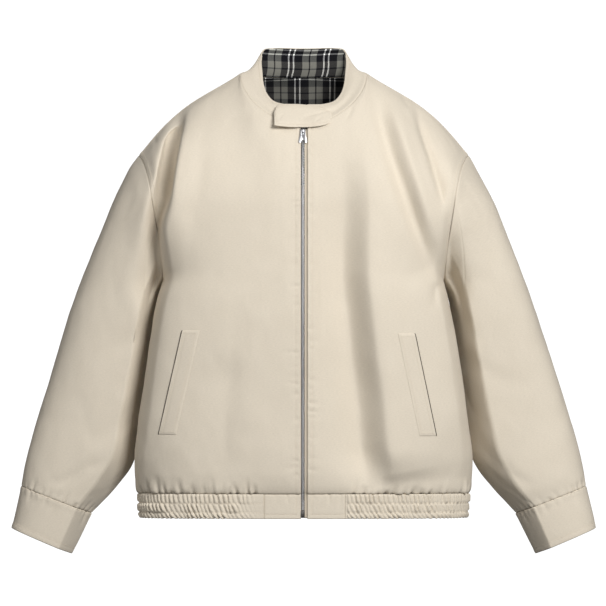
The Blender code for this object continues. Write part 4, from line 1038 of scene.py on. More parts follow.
def panel_sheet(name, grid):
    """A front or the back, with its folds, creases, seams and hem gathers."""
    side = -1 if name == "front_right" else 1
    is_back = name == "back"
    points = framed(grid, False)
    shaped = sunk(points if is_back else flattened(points, FLAT_YOKE[name]))
    points = mixed(points, shaped, below_head(points))
    rows, columns = points.shape[:2]
    grain = {"front_left": 0, "front_right": columns - 1, "back": columns // 2}[name]
    sheet = Sheet(name, points, grain=grain)
    places = points[:, :, [0, 2]] * np.array([side, 1.0])
    facing = np.clip(sheet.normals[..., 1] * (1 if is_back else -1), 0.0, 1.0) ** 0.5
    rise = sheet.from_foot
    near_sides = np.minimum(sheet.from_first, sheet.from_last)
    near_edges = np.minimum(near_sides, sheet.from_head)
    hold = eased(near_sides / 0.022) * eased(sheet.from_head / 0.012)
    hold = hold * mixed(FOOT_HOLD, 1.0, eased(rise / 0.070))

    move = fold_heights(places, FOLDS[name]) * edge_fade(rows, columns, 5, 11, 9)
    move += crease_heights(places, (*CREASES[name], *dart_creases(name))) * facing * hold
    move += soft_waves(sheet, WAVE_SEEDS[name]) * eased(np.minimum(near_edges, rise) / 0.03)

    foot = sheet.u[:1, :columns] * np.ones((rows, 1))
    gathered = 1.0 if is_back else eased((np.abs(foot) - 0.055) / 0.02)
    move += puckers(foot, rise, 5 + len(name), foot.min(), foot.max()) * gathered
    move += hem_blouse(sheet, foot, gathered, 41 + len(name))

    move += seam_heights(rise, 0.0) + seam_heights(sheet.from_head, 0.6)
    arm = (points[..., 2] > ARMPIT_Z - 0.004) * 1.0
    if name != "front_left":
        move += seam_heights(sheet.from_first, arm)
    if name != "front_right":
        move += seam_heights(sheet.from_last, arm)
    if not is_back:
        edge = sheet.from_first if name == "front_left" else sheet.from_last
        move += 0.0004 * bell(edge, 0.004, 0.0028) + stitched(edge, FRONT_STITCH)
        drags = puckers(rise, edge, 91 + len(name), 0.02, 0.55, ZIP_DRAGS)
        move += drags * eased(edge / 0.003)
        sheet.bulge["first" if name == "front_left" else "last"] = 0.0004
    sheet.move(move)
    return sheet


def half_grids():
    """The plain grids of the two fronts and the back."""
    left = half_panel(-1, FRONT_EDGE["left"])
    right = mirrored(half_panel(-1, FRONT_EDGE["right"]))
    half_back = half_panel(1, 0.0)
    back = np.concatenate([half_back[:, ::-1], mirrored(half_back)[:, ::-1][:, 1:]], axis=1)
    return {"front_left": left, "front_right": right, "back": back}


# ---------------- sleeves and cuffs

FLAT_SLEEVE = 0.93  # depth of a sleeve's flat front beside its ring's
SLEEVE_EDGE = {"left": -0.50, "right": -0.58}  # where across a ring its sharp edge lies
FLAT_START = 0.02  # share of the way down where a sleeve starts to flatten
FLAT_GROWTH = 0.26  # and over which it does
CUFF_START = 0.70  # share of the way down from where it turns rounder again
CUFF_CREASED = 0.75  # how flat the sleeve's section is at the cuff
CALM_SHARE = 0.15  # of the folds and creases that is left close to the armhole
CALM_FRONT = 0.35  # and on the sleeve's front


def forward_share(angles, creased, edge):
    """How far forward of its middle each angle of a ring lies.

    A ring is an oval where creased is 0. Where it's 1 its front and back are flat, and turn
    sharply at the underarm edge towards the inside.
    """
    across, forward = np.cos(angles), np.sin(angles)
    outside = np.clip((across - edge) / (1 - edge), 0.0, 1.0)
    inside = np.clip((edge - across) / (1 + edge), 0.0, 1.0)
    flat = np.where(across > edge, (1 - outside**3) ** (1 / 3), 1 - inside**1.15)
    return mixed(forward, np.sign(forward) * flat * FLAT_SLEEVE, creased)


def sleeve_ring(rings, angles, side, creased=0.0):
    """Points of rings at the given angles, 0 on the outer side and 90 degrees in front."""
    outer = np.stack([rings[:, 0], rings[:, 4], rings[:, 1]], axis=1)
    inner = np.stack([rings[:, 2], rings[:, 4], rings[:, 3]], axis=1)
    middle, reach = (outer + inner) / 2, (outer - inner) / 2
    across = np.cos(angles)[..., None] * reach[:, None]
    share = forward_share(angles, creased, SLEEVE_EDGE["left" if side > 0 else "right"])
    forward = share[..., None] * np.array([0.0, -1.0, 0.0]) * rings[:, 5][:, None, None]
    return (middle[:, None] + across + forward) * np.array([side, 1.0, 1.0])


def ring_angles(ring, points, side):
    """The angle of each point round a ring, growing from the first point."""
    outer = np.array([ring[0] * side, ring[1]])
    inner = np.array([ring[2] * side, ring[3]])
    middle, reach = (outer + inner) / 2, (outer - inner) / 2
    across = (points[:, [0, 2]] - middle) @ reach / (reach @ reach)
    forward = (ring[4] - points[:, 1]) / ring[5]
    return np.unwrap(np.arctan2(forward, across))


def oriented(grid, side):
    """A sleeve's grid with its rows running up and its columns towards the wearer's left."""
    grid = grid[::-1]
    return grid[:, ::-1] if side > 0 else grid


# Creases of the sleeves, as angle in degrees and share of the way down (angles as in the solids)
SLEEVE_CREASES = {
    "left": (
        Crease(((128, 0.02), (112, 0.09), (104, 0.18)), 0.007, 0.010, -0.0030, 0.1, 0.5),
        Crease(((160, 0.06), (140, 0.16), (112, 0.26), (88, 0.33)), 0.008, 0.012, -0.0030, 0.2, 0.5),
        Crease(((174, 0.30), (150, 0.38), (124, 0.44)), 0.007, 0.010, -0.0030, 0.2, 0.5),
        Crease(((60, 0.40), (84, 0.50), (104, 0.57)), 0.012, 0.014, -0.0022, 0.4, 0.4),
        Crease(((170, 0.56), (146, 0.66), (120, 0.73)), 0.007, 0.010, -0.0026, 0.2, 0.5),
        Crease(((66, 0.70), (92, 0.80), (110, 0.90)), 0.010, 0.013, -0.0024, 0.4, 0.3),
        Crease(((150, 0.84), (132, 0.92), (120, 1.00)), 0.006, 0.008, -0.0024, 0.4, 0.1),
        Crease(((200, 0.10), (232, 0.22), (262, 0.30)), 0.008, 0.012, -0.0032, 0.2, 0.5),
        Crease(((190, 0.36), (222, 0.46), (250, 0.52)), 0.008, 0.012, -0.0030, 0.2, 0.5),
        Crease(((196, 0.60), (230, 0.70), (268, 0.78)), 0.009, 0.012, -0.0028, 0.2, 0.5),
    ),
    "right": (
        Crease(((132, 0.02), (118, 0.08), (108, 0.14)), 0.006, 0.009, -0.0034, 0.1, 0.5),
        Crease(((165, 0.10), (142, 0.19), (118, 0.26)), 0.008, 0.012, -0.0030, 0.2, 0.5),
        Crease(((172, 0.34), (148, 0.43), (116, 0.50), (92, 0.54)), 0.008, 0.011, -0.0028, 0.2, 0.5),
        Crease(((58, 0.30), (80, 0.38), (96, 0.44)), 0.012, 0.014, -0.0020, 0.4, 0.4),
        Crease(((168, 0.62), (142, 0.70), (118, 0.76)), 0.007, 0.010, -0.0028, 0.2, 0.5),
        Crease(((62, 0.62), (86, 0.72), (100, 0.80)), 0.010, 0.013, -0.0022, 0.4, 0.4),
        Crease(((110, 0.86), (98, 0.93), (92, 1.00)), 0.005, 0.008, -0.0026, 0.4, 0.1),
        Crease(((204, 0.08), (236, 0.18), (258, 0.24)), 0.008, 0.012, -0.0032, 0.2, 0.5),
        Crease(((192, 0.40), (226, 0.50), (256, 0.58)), 0.009, 0.012, -0.0030, 0.2, 0.5),
        Crease(((200, 0.66), (234, 0.76), (262, 0.84)), 0.008, 0.012, -0.0028, 0.2, 0.5),
    ),
}


def flanked(values):
    """A grid's values with a row close inside its first and its last, as framed adds."""
    first = mixed(values[:1], values[1:2], 0.4)
    last = mixed(values[-1:], values[-2:-1], 0.4)
    return np.concatenate([values[:1], first, values[1:-1], last, values[-1:]])


def sleeve_creases(side_name):
    """A sleeve's folds and creases, with their places as turned length and fall."""

    def place(angle, down):
        return math.radians(angle) * FOLD_RADIUS, -down * FOLD_LENGTH

    folds = [
        (*place(f.angle0, f.down0), *place(f.angle1, f.down1), 0.0, f.width, f.height)
        for f in SLEEVE_FOLDS[side_name]
    ]
    creases = [c._replace(path=[place(*p) for p in c.path]) for c in SLEEVE_CREASES[side_name]]
    return folds, creases


def sleeve_sheet(side_name, front_edge, back_edge):
    """A sleeve, from the armhole edges of the plain panels down to its cuff."""
    side = 1 if side_name == "left" else -1
    armhole = np.concatenate([front_edge[LOWER_ROWS:][::-1], back_edge[LOWER_ROWS + 1 : -1]])
    count = len(armhole)
    fine = SLEEVE_RINGS * FINE_RINGS
    rings = smooth_rows(numbered(SLEEVE), np.linspace(0.0, len(SLEEVE) - 1, fine + 1))[:, 1:]
    start_angles = ring_angles(rings[0], armhole, side)
    even = np.arange(count) * 2 * math.pi / count
    rest = armhole - sleeve_ring(rings[:1], start_angles[None], side)[0]
    settled = np.minimum(1.0, np.arange(fine + 1) / (4 * FINE_RINGS))[:, None]
    down = np.arange(fine + 1)[:, None] / fine
    creased = eased((down - FLAT_START) / FLAT_GROWTH)
    creased = creased * mixed(1.0, CUFF_CREASED, eased((down - CUFF_START) / (1 - CUFF_START)))
    grid = sleeve_ring(rings, mixed(start_angles, even, settled), side, creased)
    grid = oriented(grid + rest * ((1 - settled) ** 2)[..., None], side)
    turns = flanked(oriented(np.tile(even, (fine + 1, 1))[..., None], side)[..., 0])
    falls = flanked(np.linspace(1.0, 0.0, fine + 1)[:, None] * np.ones(count))

    sheet = Sheet(f"sleeve_{side_name}", sunk(framed(grid, True)), wraps=True)
    rows, columns = sheet.points.shape[:2]
    places = np.stack([turns * FOLD_RADIUS, -falls * FOLD_LENGTH], axis=2)
    folds, creases = sleeve_creases(side_name)
    calm = CALM_SHARE + (1 - CALM_SHARE) * eased((sheet.from_head - 0.10) / 0.12)
    behind = eased((turns - math.pi) / 0.3) * eased((2 * math.pi - turns) / 0.3)
    calm = calm * mixed(CALM_FRONT, 1.0, behind)
    near = np.minimum(sheet.from_foot, sheet.from_head)
    length = sheet.u[:1, :columns] * np.ones((rows, 1))
    from_under = np.abs(turns - math.acos(SLEEVE_EDGE[side_name])) * FOLD_RADIUS
    move = fold_heights(places, folds) * edge_fade(rows, columns, 16, 16, 0) * calm
    move += crease_heights(places, creases) * eased(near / 0.012) * calm
    move += soft_waves(sheet, 53 if side > 0 else 71, 1.25) * eased(near / 0.03)
    move += puckers(length, sheet.from_foot, 9 + side, 0.0, length.max(), 0.55)
    move += seam_heights(sheet.from_foot, 0.0) + seam_heights(sheet.from_head, 0.0)
    move += seam_heights(from_under, 0.0) * eased(near / 0.01)
    sheet.move(move)
    return sheet


def cuff_sheet(side_name, count):
    """A cuff, with as many columns as its sleeve has."""
    side = 1 if side_name == "left" else -1
    share = np.linspace(0.0, 1.0, CUFF_ROWS + 1)[:, None]
    rings = np.array(SLEEVE[-1]) * (1 - share) + np.array(CUFF_END) * share
    even = np.tile(np.arange(count) * 2 * math.pi / count, (CUFF_ROWS + 1, 1))
    grid = oriented(sleeve_ring(rings, even, side, CUFF_CREASED), side)
    cuff = Sheet(f"cuff_{side_name}", framed(grid, True), wraps=True)
    near = np.minimum(cuff.from_foot, cuff.from_head)
    length = cuff.u[:1, : cuff.points.shape[1]] * np.ones((cuff.points.shape[0], 1))
    move = soft_waves(cuff, 83 + side, 0.55) * eased(near / 0.015)
    move += puckers(length, cuff.from_head, 19 + side, 0.0, length.max(), 0.35)
    move += seam_heights(cuff.from_head, 0.8)
    move += stitched(cuff.from_foot, CUFF_STITCH, 0.0005, 0.0011)
    move += 0.0003 * bell(cuff.from_foot, CUFF_STITCH / 2, 0.003)
    cuff.bulge["foot"] = 0.0007
    cuff.move(move)
    return cuff


# ---------------- collar and tab


def collar_grid(grids):
    """The collar's grid, from the neck seam up."""
    shoulder = SHOULDER_COLUMNS * FINE_COLUMNS
    left = grids["front_left"][-1, : NECK_COLUMNS * FINE_COLUMNS + 1]
    back = grids["back"][-1, shoulder:-shoulder]
    right = grids["front_right"][-1, shoulder:]
    seam = np.concatenate([left, back[1:], right[1:]])
    length = lengths_along(seam)
    shares = length / length[-1]
    half = np.where(shares <= 0.5, 2 * shares, 2 * (1 - shares))
    sides = np.where(shares <= 0.5, 1.0, -1.0)
    rows = smooth_rows(COLLAR_TOP, half)
    start = np.where(sides > 0, FRONT_EDGE["left"], FRONT_EDGE["right"])
    x = sides * (start + (1 - start / NECK_HALF_WIDTH) * rows[:, 1])
    top = np.stack([x, rows[:, 2], rows[:, 3]], axis=1)
    out = unit((seam - top) * np.array([1.0, 1.0, 0.0]))
    share = np.linspace(0.0, 1.0, COLLAR_ROWS + 1)[:, None, None]
    return mixed(seam, top, share) - out * COLLAR_FLARE * np.sin(2 * math.pi * share)


# Where a pale pair of the check starts on each lining: to the wearer's right of the centre back,
# and over or under the neck seam
COLLAR_CHECK = (0.0055, 0.0027)
BACK_CHECK = (-0.0078, 0.0159)
LINING_ROWS = 6  # of the yoke's rows, down from the neck, that the back lining covers


def collar_sheets(grids):
    """The collar's outer cloth and its lining."""
    grid = collar_grid(grids)
    points = framed(grid, False)
    columns = points.shape[1]
    outer = Sheet("collar", points, grain=columns // 2)
    near = np.minimum(outer.from_foot, np.minimum(outer.from_first, outer.from_last))
    waves = soft_waves(outer, 97, 0.45) * eased(np.minimum(near, outer.from_head) / 0.02)
    edge = np.minimum(outer.from_head, np.minimum(outer.from_first, outer.from_last))
    stitch = stitched(edge, COLLAR_STITCH, 0.00045)
    outer.bulge.update(head=0.0007, first=0.0006, last=0.0006)
    outer.move(waves + stitch + seam_heights(outer.from_foot, 0.5))

    below = (grid - grid_normals(grid, False) * (SHELL + LAY_GAP))[:, 1:-1]
    lining = Sheet("collar_lining", framed(below, False), LINING, grain=(columns - 2) // 2)
    lining.move(-np.abs(soft_waves(lining, 103, 0.4)) * eased(lining.from_head / 0.02))
    lining.bulge["head"] = 0.0003
    lining.u = COLLAR_CHECK[0] - lining.u
    lining.v = lining.v - COLLAR_CHECK[1]
    return outer, lining


def back_lining_sheet(grids):
    """The lining inside the back of the neck."""
    shoulder = SHOULDER_COLUMNS * FINE_COLUMNS
    fine = LINING_ROWS * FINE_YOKE
    inset = FINE_COLUMNS
    back = grids["back"]
    move = back - grid_normals(back, False) * (SHELL + LAY_GAP)
    cut = move[-fine:, shoulder + inset : -shoulder - inset]
    middle = cut.shape[1] // 2 + 1
    sheet = Sheet("back_lining", framed(cut, False), LINING, grain=middle)
    sheet.u = BACK_CHECK[0] - sheet.u
    sheet.v = sheet.v[-1, middle] - sheet.v - BACK_CHECK[1]
    return sheet


# Creases of the tab, at x and z
TAB_CREASES = (
    Crease(((0.040, -0.0590), (0.018, -0.0655), (-0.006, -0.0715)), 0.0014, 0.0022, -0.0013, 0.2, 0.3),
    Crease(((0.014, -0.0730), (0.004, -0.0728), (-0.004, -0.0735)), 0.0012, 0.0018, -0.0008, 0.3, 0.3),
    Crease(((-0.030, -0.0640), (-0.036, -0.0700), (-0.037, -0.0760)), 0.0014, 0.002, -0.0008, 0.3, 0.3),
    Crease(((0.030, -0.0690), (0.022, -0.0740), (0.016, -0.0790)), 0.0016, 0.002, -0.0008, 0.3, 0.3),
)
TAB_PUFF = 0.0011


def tab_sheet(collar):
    """The tab that the left collar end carries across the zip."""
    points = collar.points
    half = points.shape[1] // 2
    seam, top = points[0], points[-1]
    pick = np.r_[0:half, half + 1 : points.shape[1]]
    pick = pick[np.argsort(seam[pick, 0])]
    pick = pick[seam[pick, 1] < -0.02]
    foot, head = seam[pick], top[pick]
    table = sorted(TAB, key=lambda station: station.x)
    xs = np.linspace(table[0].x, table[-1].x, 73)
    stations = smooth_rows(table, xs)
    foot_y, foot_z = (np.interp(xs, foot[:, 0], foot[:, k]) for k in (1, 2))
    head_y, head_z = (np.interp(xs, head[:, 0], head[:, k]) for k in (1, 2))
    rows = []
    for share in np.linspace(0.0, 1.0, 21):
        z = stations[:, 2] + (stations[:, 1] - stations[:, 2]) * share
        y = foot_y + (head_y - foot_y) * (z - foot_z) / (head_z - foot_z)
        rows.append(np.stack([xs, y, z], axis=1))
    grid = np.array(rows)
    normals = grid_normals(grid, False)
    stand_off = stations[:, 3] + TAB_THICKNESS + COLLAR_FLARE
    grid = grid + normals * stand_off[None, :, None]
    sheet = Sheet("collar_tab", framed(grid, False, 0.0008), TAB_THICKNESS)
    edge = np.minimum(sheet.from_foot, sheet.from_head)
    edge = np.minimum(edge, sheet.from_first)
    move = stitched(edge, TAB_STITCH, 0.00035, 0.0009)
    move -= 0.0005 * (1 - eased(edge / 0.0016))
    move += crease_heights(sheet.points[:, :, [0, 2]], TAB_CREASES)
    move += TAB_PUFF * eased(edge / 0.009)
    sheet.bulge.update(foot=0.0005, head=0.0005, first=0.0006)
    sheet.move(move)
    return sheet


# ---------------- hem band

BAND_ROWS = 24
RIBS = 158
RIB_COLUMNS = 7
BAND_STITCHES = (0.233, 0.607)  # heights of the elastic's stitch rows, as shares of the band
RIB_HEIGHT = 0.0042
RIB_PINCH = 0.50  # share of a rib's height that a stitch row takes away
RIB_SLANTS = (0.85, 0.75, 0.30)  # ribs that a rib leans over in each row, from the hem up
RIB_WANDER = 0.42


def band_line(share, first, last, count):
    """Points of the band's outline at a share of its height, between two places round it."""
    half_width = mixed(BAND_HALF_WIDTH[0], BAND_HALF_WIDTH[1], share)
    power = SQUARENESS
    angles = np.linspace(0.0, math.pi, 1600)
    depth = np.where(np.cos(angles) > 0, BAND_FRONT + WIDEST_Y, BAND_BACK - WIDEST_Y)
    bend = np.sign(np.cos(angles)) * np.abs(np.cos(angles)) ** (2 / power)
    x = half_width * np.sin(angles) ** (2 / power)
    y = WIDEST_Y - depth * bend
    half = np.stack([x, y, np.full(x.shape, float(mixed(HEM_Z, HEM_SEAM_Z, share)))], axis=1)
    other = half[::-1][1:] * np.array([-1.0, 1.0, 1.0])
    return along(np.concatenate([half, other]), np.linspace(first, last, count) / 2)


def band_place(x):
    """Where round the band its front is this far to the wearer's left."""
    line = band_line(0.5, 0.0, 2.0, 4001)
    places = np.linspace(0.0, 2.0, 4001)
    front = (line[:, 1] < WIDEST_Y) & ((places < 1) if x >= 0 else (places > 1))
    return float(np.interp(x, line[front, 0], places[front]))


def plain_band_sheet(side_name):
    """The plain stretch of the band beside the zip."""
    edge, end = FRONT_EDGE[side_name], PLAIN_END[side_name]
    signs = (edge, end) if side_name == "left" else (-end, -edge)
    first, last = (band_place(x) for x in signs)
    shares = np.linspace(0.0, 1.0, BAND_ROWS + 1)
    grid = np.array([band_line(share, first, last, 41) for share in shares])
    sheet = Sheet(f"hem_front_{side_name}", framed(grid, False))
    free, sewn = ("first", "last") if side_name == "left" else ("last", "first")
    distance = {"first": sheet.from_first, "last": sheet.from_last}
    sheet.bulge.update({"foot": 0.0008, free: 0.0005})
    near = np.minimum(distance[sewn], sheet.from_head)
    move = soft_waves(sheet, 131, 0.4) * eased(near / 0.01)
    move += seam_heights(distance[sewn], 0.0) * 1.4 + seam_heights(sheet.from_head, 0.0) * 1.4
    move += puckers(sheet.u, sheet.from_head, 61 + len(side_name), 0.0, sheet.u.max(), 0.3)
    edges = np.minimum(distance[free], sheet.from_foot)
    move += stitched(edges, PLAIN_BAND_STITCH)
    sheet.move(move)
    return sheet


def rib_heights(sheet):
    """The gathers of the elastic band: slanted ribs, pinched at the stitch rows."""
    rows, columns = sheet.points.shape[:2]
    length = sheet.u[:1] * np.ones((rows, 1))
    whole = length.max()
    share = sheet.from_foot / (HEM_SEAM_Z - HEM_Z)
    lines = (0.0, *BAND_STITCHES, 1.0)
    row = sum((share > s) * 1.0 for s in BAND_STITCHES)
    low, high = (np.choose(row.astype(int), lines[k : k + 3]) for k in (0, 1))
    local = np.clip((share - low) / (high - low), 0.0, 1.0)
    wander = ripples(length, row * 0.016, 0.021, 151) * RIB_WANDER
    wander += ripples(length, share * 0.02, 0.008, 157) * RIB_WANDER * 0.5
    slant = np.choose(row.astype(int), RIB_SLANTS)
    phase = length / whole * RIBS + wander + slant * (local - 0.5)
    ribs = np.abs(np.sin(math.pi * phase)) ** 1.05
    size = 0.80 + 0.50 * ripples(length, row * 3.0, 0.010, 163)
    pinch = sum(bell(share, s, 0.045) for s in BAND_STITCHES)
    pinch = np.clip(pinch, 0.0, 1.0) * RIB_PINCH
    puff = 1.0 - pinch - 0.45 * (1 - eased(share / 0.08)) - 0.35 * (1 - eased((1 - share) / 0.08))
    near_left = eased((length - 0.002) / 0.004)
    near_right = eased((whole - length - 0.004) / 0.055)
    return RIB_HEIGHT * ribs * size * puff * near_left * near_right - 0.0004 * pinch


def elastic_sheet():
    """The gathered stretch of the band round the sides and the back."""
    first, last = band_place(PLAIN_END["left"]), band_place(-PLAIN_END["right"])
    shares = np.linspace(0.0, 1.0, BAND_ROWS + 1)
    count = RIBS * RIB_COLUMNS + 1
    grid = np.array([band_line(share, first, last, count) for share in shares])
    sheet = Sheet("hem_elastic", framed(grid, False, 0.0006))
    heights = rib_heights(sheet)
    sheet.bulge["foot"] = 0.0008
    sheet.move(heights + seam_heights(sheet.from_head, 0.0))
    return sheet


# ---------------- pockets

WELT_FINE = (60, 14)
WELT_SINK = 0.0009  # how far a welt's sewn edges sink towards the front
WELT_LIFT = 0.0012  # of its outer face over the front, which is flatter than in the solids


def welt_sheet(side_name, panel):
    """A slanted pocket welt that lies on a front."""
    side = 1 if side_name == "left" else -1
    welt = WELTS[side_name]
    rows, columns = panel.points.shape[:2]
    points = [tuple(p) for p in panel.points.reshape(-1, 3)]
    faces = []
    for i in range(rows - 1):
        for j in range(columns - 1):
            k = i * columns + j
            faces.append((k, k + 1, k + columns + 1, k + columns))
    tree = BVHTree.FromPolygons(points, faces)
    grid = []
    for i in range(WELT_FINE[0] + 1):
        share = i / WELT_FINE[0]
        outer_x = mixed(welt.bottom_x, welt.top_x, share)
        z = mixed(welt.bottom_z, welt.top_z, share)
        line = []
        for j in range(WELT_FINE[1] + 1):
            x = outer_x - welt.width * (1 - j / WELT_FINE[1])
            place, normal, _, _ = tree.ray_cast((side * x, -1.0, z), (0.0, 1.0, 0.0))
            if normal.y > 0:
                normal.negate()
            line.append(place + normal * WELT_LIFT)
        grid.append(line if side > 0 else line[::-1])
    grid = framed(softened(np.array(grid), 4.0), False, 0.0008)
    grain = grid.shape[1] - 1 if side > 0 else 0
    sheet = Sheet(f"pocket_welt_{side_name}", grid, WELT, grain=grain)
    sewn, opening = sheet.from_first, sheet.from_last
    if side < 0:
        sewn, opening = opening, sewn
    hold = np.minimum(sewn, np.minimum(sheet.from_foot, sheet.from_head))
    move = -WELT_SINK * (1 - eased(hold / 0.0030))
    move += stitched(opening, WELT_STITCH)
    move += stitched(hold, WELT_SEWN_STITCH, 0.0003)
    move += soft_waves(sheet, 171, 0.3) * eased(hold / 0.006)
    sheet.bulge["last" if side > 0 else "first"] = 0.0004
    sheet.move(move)
    return sheet


# ---------------- stitches and teeth


def scattered(name, template, places):
    """One object with a copy of a small mesh at each place: point, right, forward and up."""
    co = np.array([v.co[:] for v in template.vertices])
    faces = [tuple(p.vertices) for p in template.polygons]
    count = len(co)
    points, all_faces = [], []
    for k, (point, right, forward, up) in enumerate(places):
        axes = np.array([right, forward, up])
        points.append(co @ axes + point)
        all_faces += [tuple(v + k * count for v in face) for face in faces]
    mesh = bpy.data.meshes.new(name)
    mesh.from_pydata(np.concatenate(points).tolist(), [], all_faces)
    return finished(name, mesh)


def frames_along(points, normals, pitch, start=0.0, end=0.0, height=0.0, tilt=0.0):
    """Evenly spaced places along a line: point, direction along it, sideways and outwards."""
    length = lengths_along(points)
    count = int((length[-1] - start - end) / pitch)
    wanted = start + (np.arange(count) + 0.5) * pitch
    here = at_lengths(points, wanted)
    before, after = at_lengths(points, wanted - pitch / 3), at_lengths(points, wanted + pitch / 3)
    up = unit(np.stack([np.interp(wanted, length, normals[:, k]) for k in range(3)], axis=1))
    run = unit(after - before)
    aside = unit(np.cross(up, run))
    run = np.cross(aside, up)
    cos, sin = math.cos(tilt), math.sin(tilt)
    run, aside = run * cos + aside * sin, aside * cos - run * sin
    return list(zip(here + up * height, run, aside, up))


def seam_line(sheet, edge, distance):
    """The line on a sheet this far in from one of its edges, with the normals along it."""
    rows, columns = sheet.points.shape[:2]
    reach = {
        "foot": sheet.from_foot,
        "head": sheet.from_head,
        "first": sheet.from_first,
        "last": sheet.from_last,
    }[edge]
    points, normals = [], []
    if edge in ("foot", "head"):
        lines = columns + 1 if sheet.wraps else columns
        for j in range(lines):
            column = reach[:, j % columns]
            order = np.argsort(column)
            row = float(np.interp(distance, column[order], order))
            point, normal = sheet.place(row, float(j))
            points.append(point)
            normals.append(normal)
    else:
        for i in range(rows):
            row = reach[i]
            order = np.argsort(row)
            column = float(np.interp(distance, row[order], order))
            point, normal = sheet.place(float(i), column)
            points.append(point)
            normals.append(normal)
    return np.array(points), np.array(normals)


def trimmed(line, keep):
    """The part of a line whose points pass a test."""
    points, normals = line
    good = np.array([keep(p) for p in points])
    return points[good], normals[good]


STITCH_PITCH = 0.0030
TAB_PITCH = 0.0026
BAND_PITCH = 0.0034
STITCH_RISE = 0.00012
STITCH_TILT = 0.10  # of each stitch out of its row, in radians


def stitch_rows(sheets):
    """The places of all visible stitches, by the name of their piece."""
    rows = {"seam_stitches": [], "band_stitches": []}

    def sew(name, line, start=0.002, end=0.002, pitch=STITCH_PITCH):
        rows[name] += frames_along(*line, pitch, start, end, STITCH_RISE, STITCH_TILT)

    for name, free in (("front_left", "first"), ("front_right", "last")):
        sheet = sheets[name]
        sew("seam_stitches", seam_line(sheet, free, FRONT_STITCH), 0.0, 0.004)
        armhole = "last" if name == "front_left" else "first"
        for inset in SEAM_STITCHES:
            line = seam_line(sheet, armhole, inset)
            sew("seam_stitches", trimmed(line, lambda p: p[2] > ARMPIT_Z), 0.002, 0.004)
        line = seam_line(sheet, "head", SHOULDER_STITCH)
        shoulder = trimmed(line, lambda p: abs(p[0]) > NECK_HALF_WIDTH + 0.004)
        sew("seam_stitches", shoulder, 0.004, 0.006)
        line = seam_line(sheet, "head", NECK_STITCH)
        neck = trimmed(line, lambda p: abs(p[0]) < NECK_HALF_WIDTH)
        sew("seam_stitches", neck, 0.003, 0.003)
    for edge in ("first", "last"):
        for inset in SEAM_STITCHES:
            line = seam_line(sheets["back"], edge, inset)
            sew("seam_stitches", trimmed(line, lambda p: p[2] > ARMPIT_Z), 0.002, 0.004)
    for side_name in ("left", "right"):
        cuff = sheets[f"cuff_{side_name}"]
        sew("seam_stitches", seam_line(cuff, "foot", CUFF_STITCH), 0.0, 0.0)
        sew("seam_stitches", seam_line(cuff, "head", CUFF_SEAM_STITCH), 0.0, 0.0)
        welt = sheets[f"pocket_welt_{side_name}"]
        opening, sewn = ("last", "first") if side_name == "left" else ("first", "last")
        sew("seam_stitches", seam_line(welt, opening, WELT_STITCH))
        sew("seam_stitches", seam_line(welt, sewn, WELT_SEWN_STITCH), 0.004, 0.004)
        for end in ("foot", "head"):
            sew("seam_stitches", seam_line(welt, end, WELT_SEWN_STITCH), 0.004, 0.004)
        plain = sheets[f"hem_front_{side_name}"]
        free = "first" if side_name == "left" else "last"
        sew("band_stitches", seam_line(plain, "foot", PLAIN_BAND_STITCH), 0.004, 0.002)
        sew("band_stitches", seam_line(plain, free, PLAIN_BAND_STITCH), 0.007, 0.002)
    collar = sheets["collar"]
    sew("seam_stitches", seam_line(collar, "head", COLLAR_STITCH), 0.006, 0.006)
    for edge in ("first", "last"):
        sew("seam_stitches", seam_line(collar, edge, COLLAR_STITCH), 0.002, 0.006)
    tab = sheets["collar_tab"]
    for edge in ("foot", "head"):
        sew("seam_stitches", seam_line(tab, edge, TAB_STITCH), 0.005, 0.004, TAB_PITCH)
    sew("seam_stitches", seam_line(tab, "first", TAB_STITCH), 0.005, 0.005, TAB_PITCH)
    elastic = sheets["hem_elastic"]
    for share in BAND_STITCHES:
        line = seam_line(elastic, "foot", share * (HEM_SEAM_Z - HEM_Z))
        sew("band_stitches", line, pitch=BAND_PITCH)
    return rows


def only(item):
    """Makes this piece the one that is selected and active."""
    bpy.ops.object.select_all(action="DESELECT")
    item.select_set(True)
    bpy.context.view_layer.objects.active = item


def bevelled(item, width, segments, sharp=None):
    """Rounds the edges of the active piece, or only those that turn by more than an angle."""
    round_off = item.modifiers.new("bevel", "BEVEL")
    round_off.width = width
    round_off.segments = segments
    if sharp:
        round_off.limit_method = "ANGLE"
        round_off.angle_limit = sharp
    bpy.ops.object.modifier_apply(modifier="bevel")


def hard_piece(name, size, bevel, segments=2):
    """A bevelled block of this size at the origin."""
    bpy.ops.object.select_all(action="DESELECT")
    bpy.ops.mesh.primitive_cube_add(size=1.0, location=(0.0, 0.0, 0.0))
    item = bpy.context.object
    item.name = name
    bpy.ops.transform.resize(value=size)
    bpy.ops.object.transform_apply(location=True, rotation=True, scale=True)
    bevelled(item, bevel, segments)
    return item


def zip_line(front):
    """The depth of the cloth beside the zip at each height, and how it leans there."""
    line = np.array([[-BAND_FRONT, HEM_Z], [-BAND_FRONT, HEM_SEAM_Z], *front[2:, 0, 1:]])
    return line[np.argsort(line[:, 1])]


def on_zip(line, z, depth):
    """The point this deep behind the cloth's face at a height, with up and outwards there."""
    y = float(np.interp(z, line[:, 1], line[:, 0]))
    ahead = float(np.interp(z + 0.006, line[:, 1], line[:, 0]))
    behind = float(np.interp(z - 0.006, line[:, 1], line[:, 0]))
    up = unit(np.array([0.0, ahead - behind, 0.012]))
    out = np.array([0.0, -up[2], up[1]])
    return np.array([ZIP_X, y, z]) - out * depth, up, out


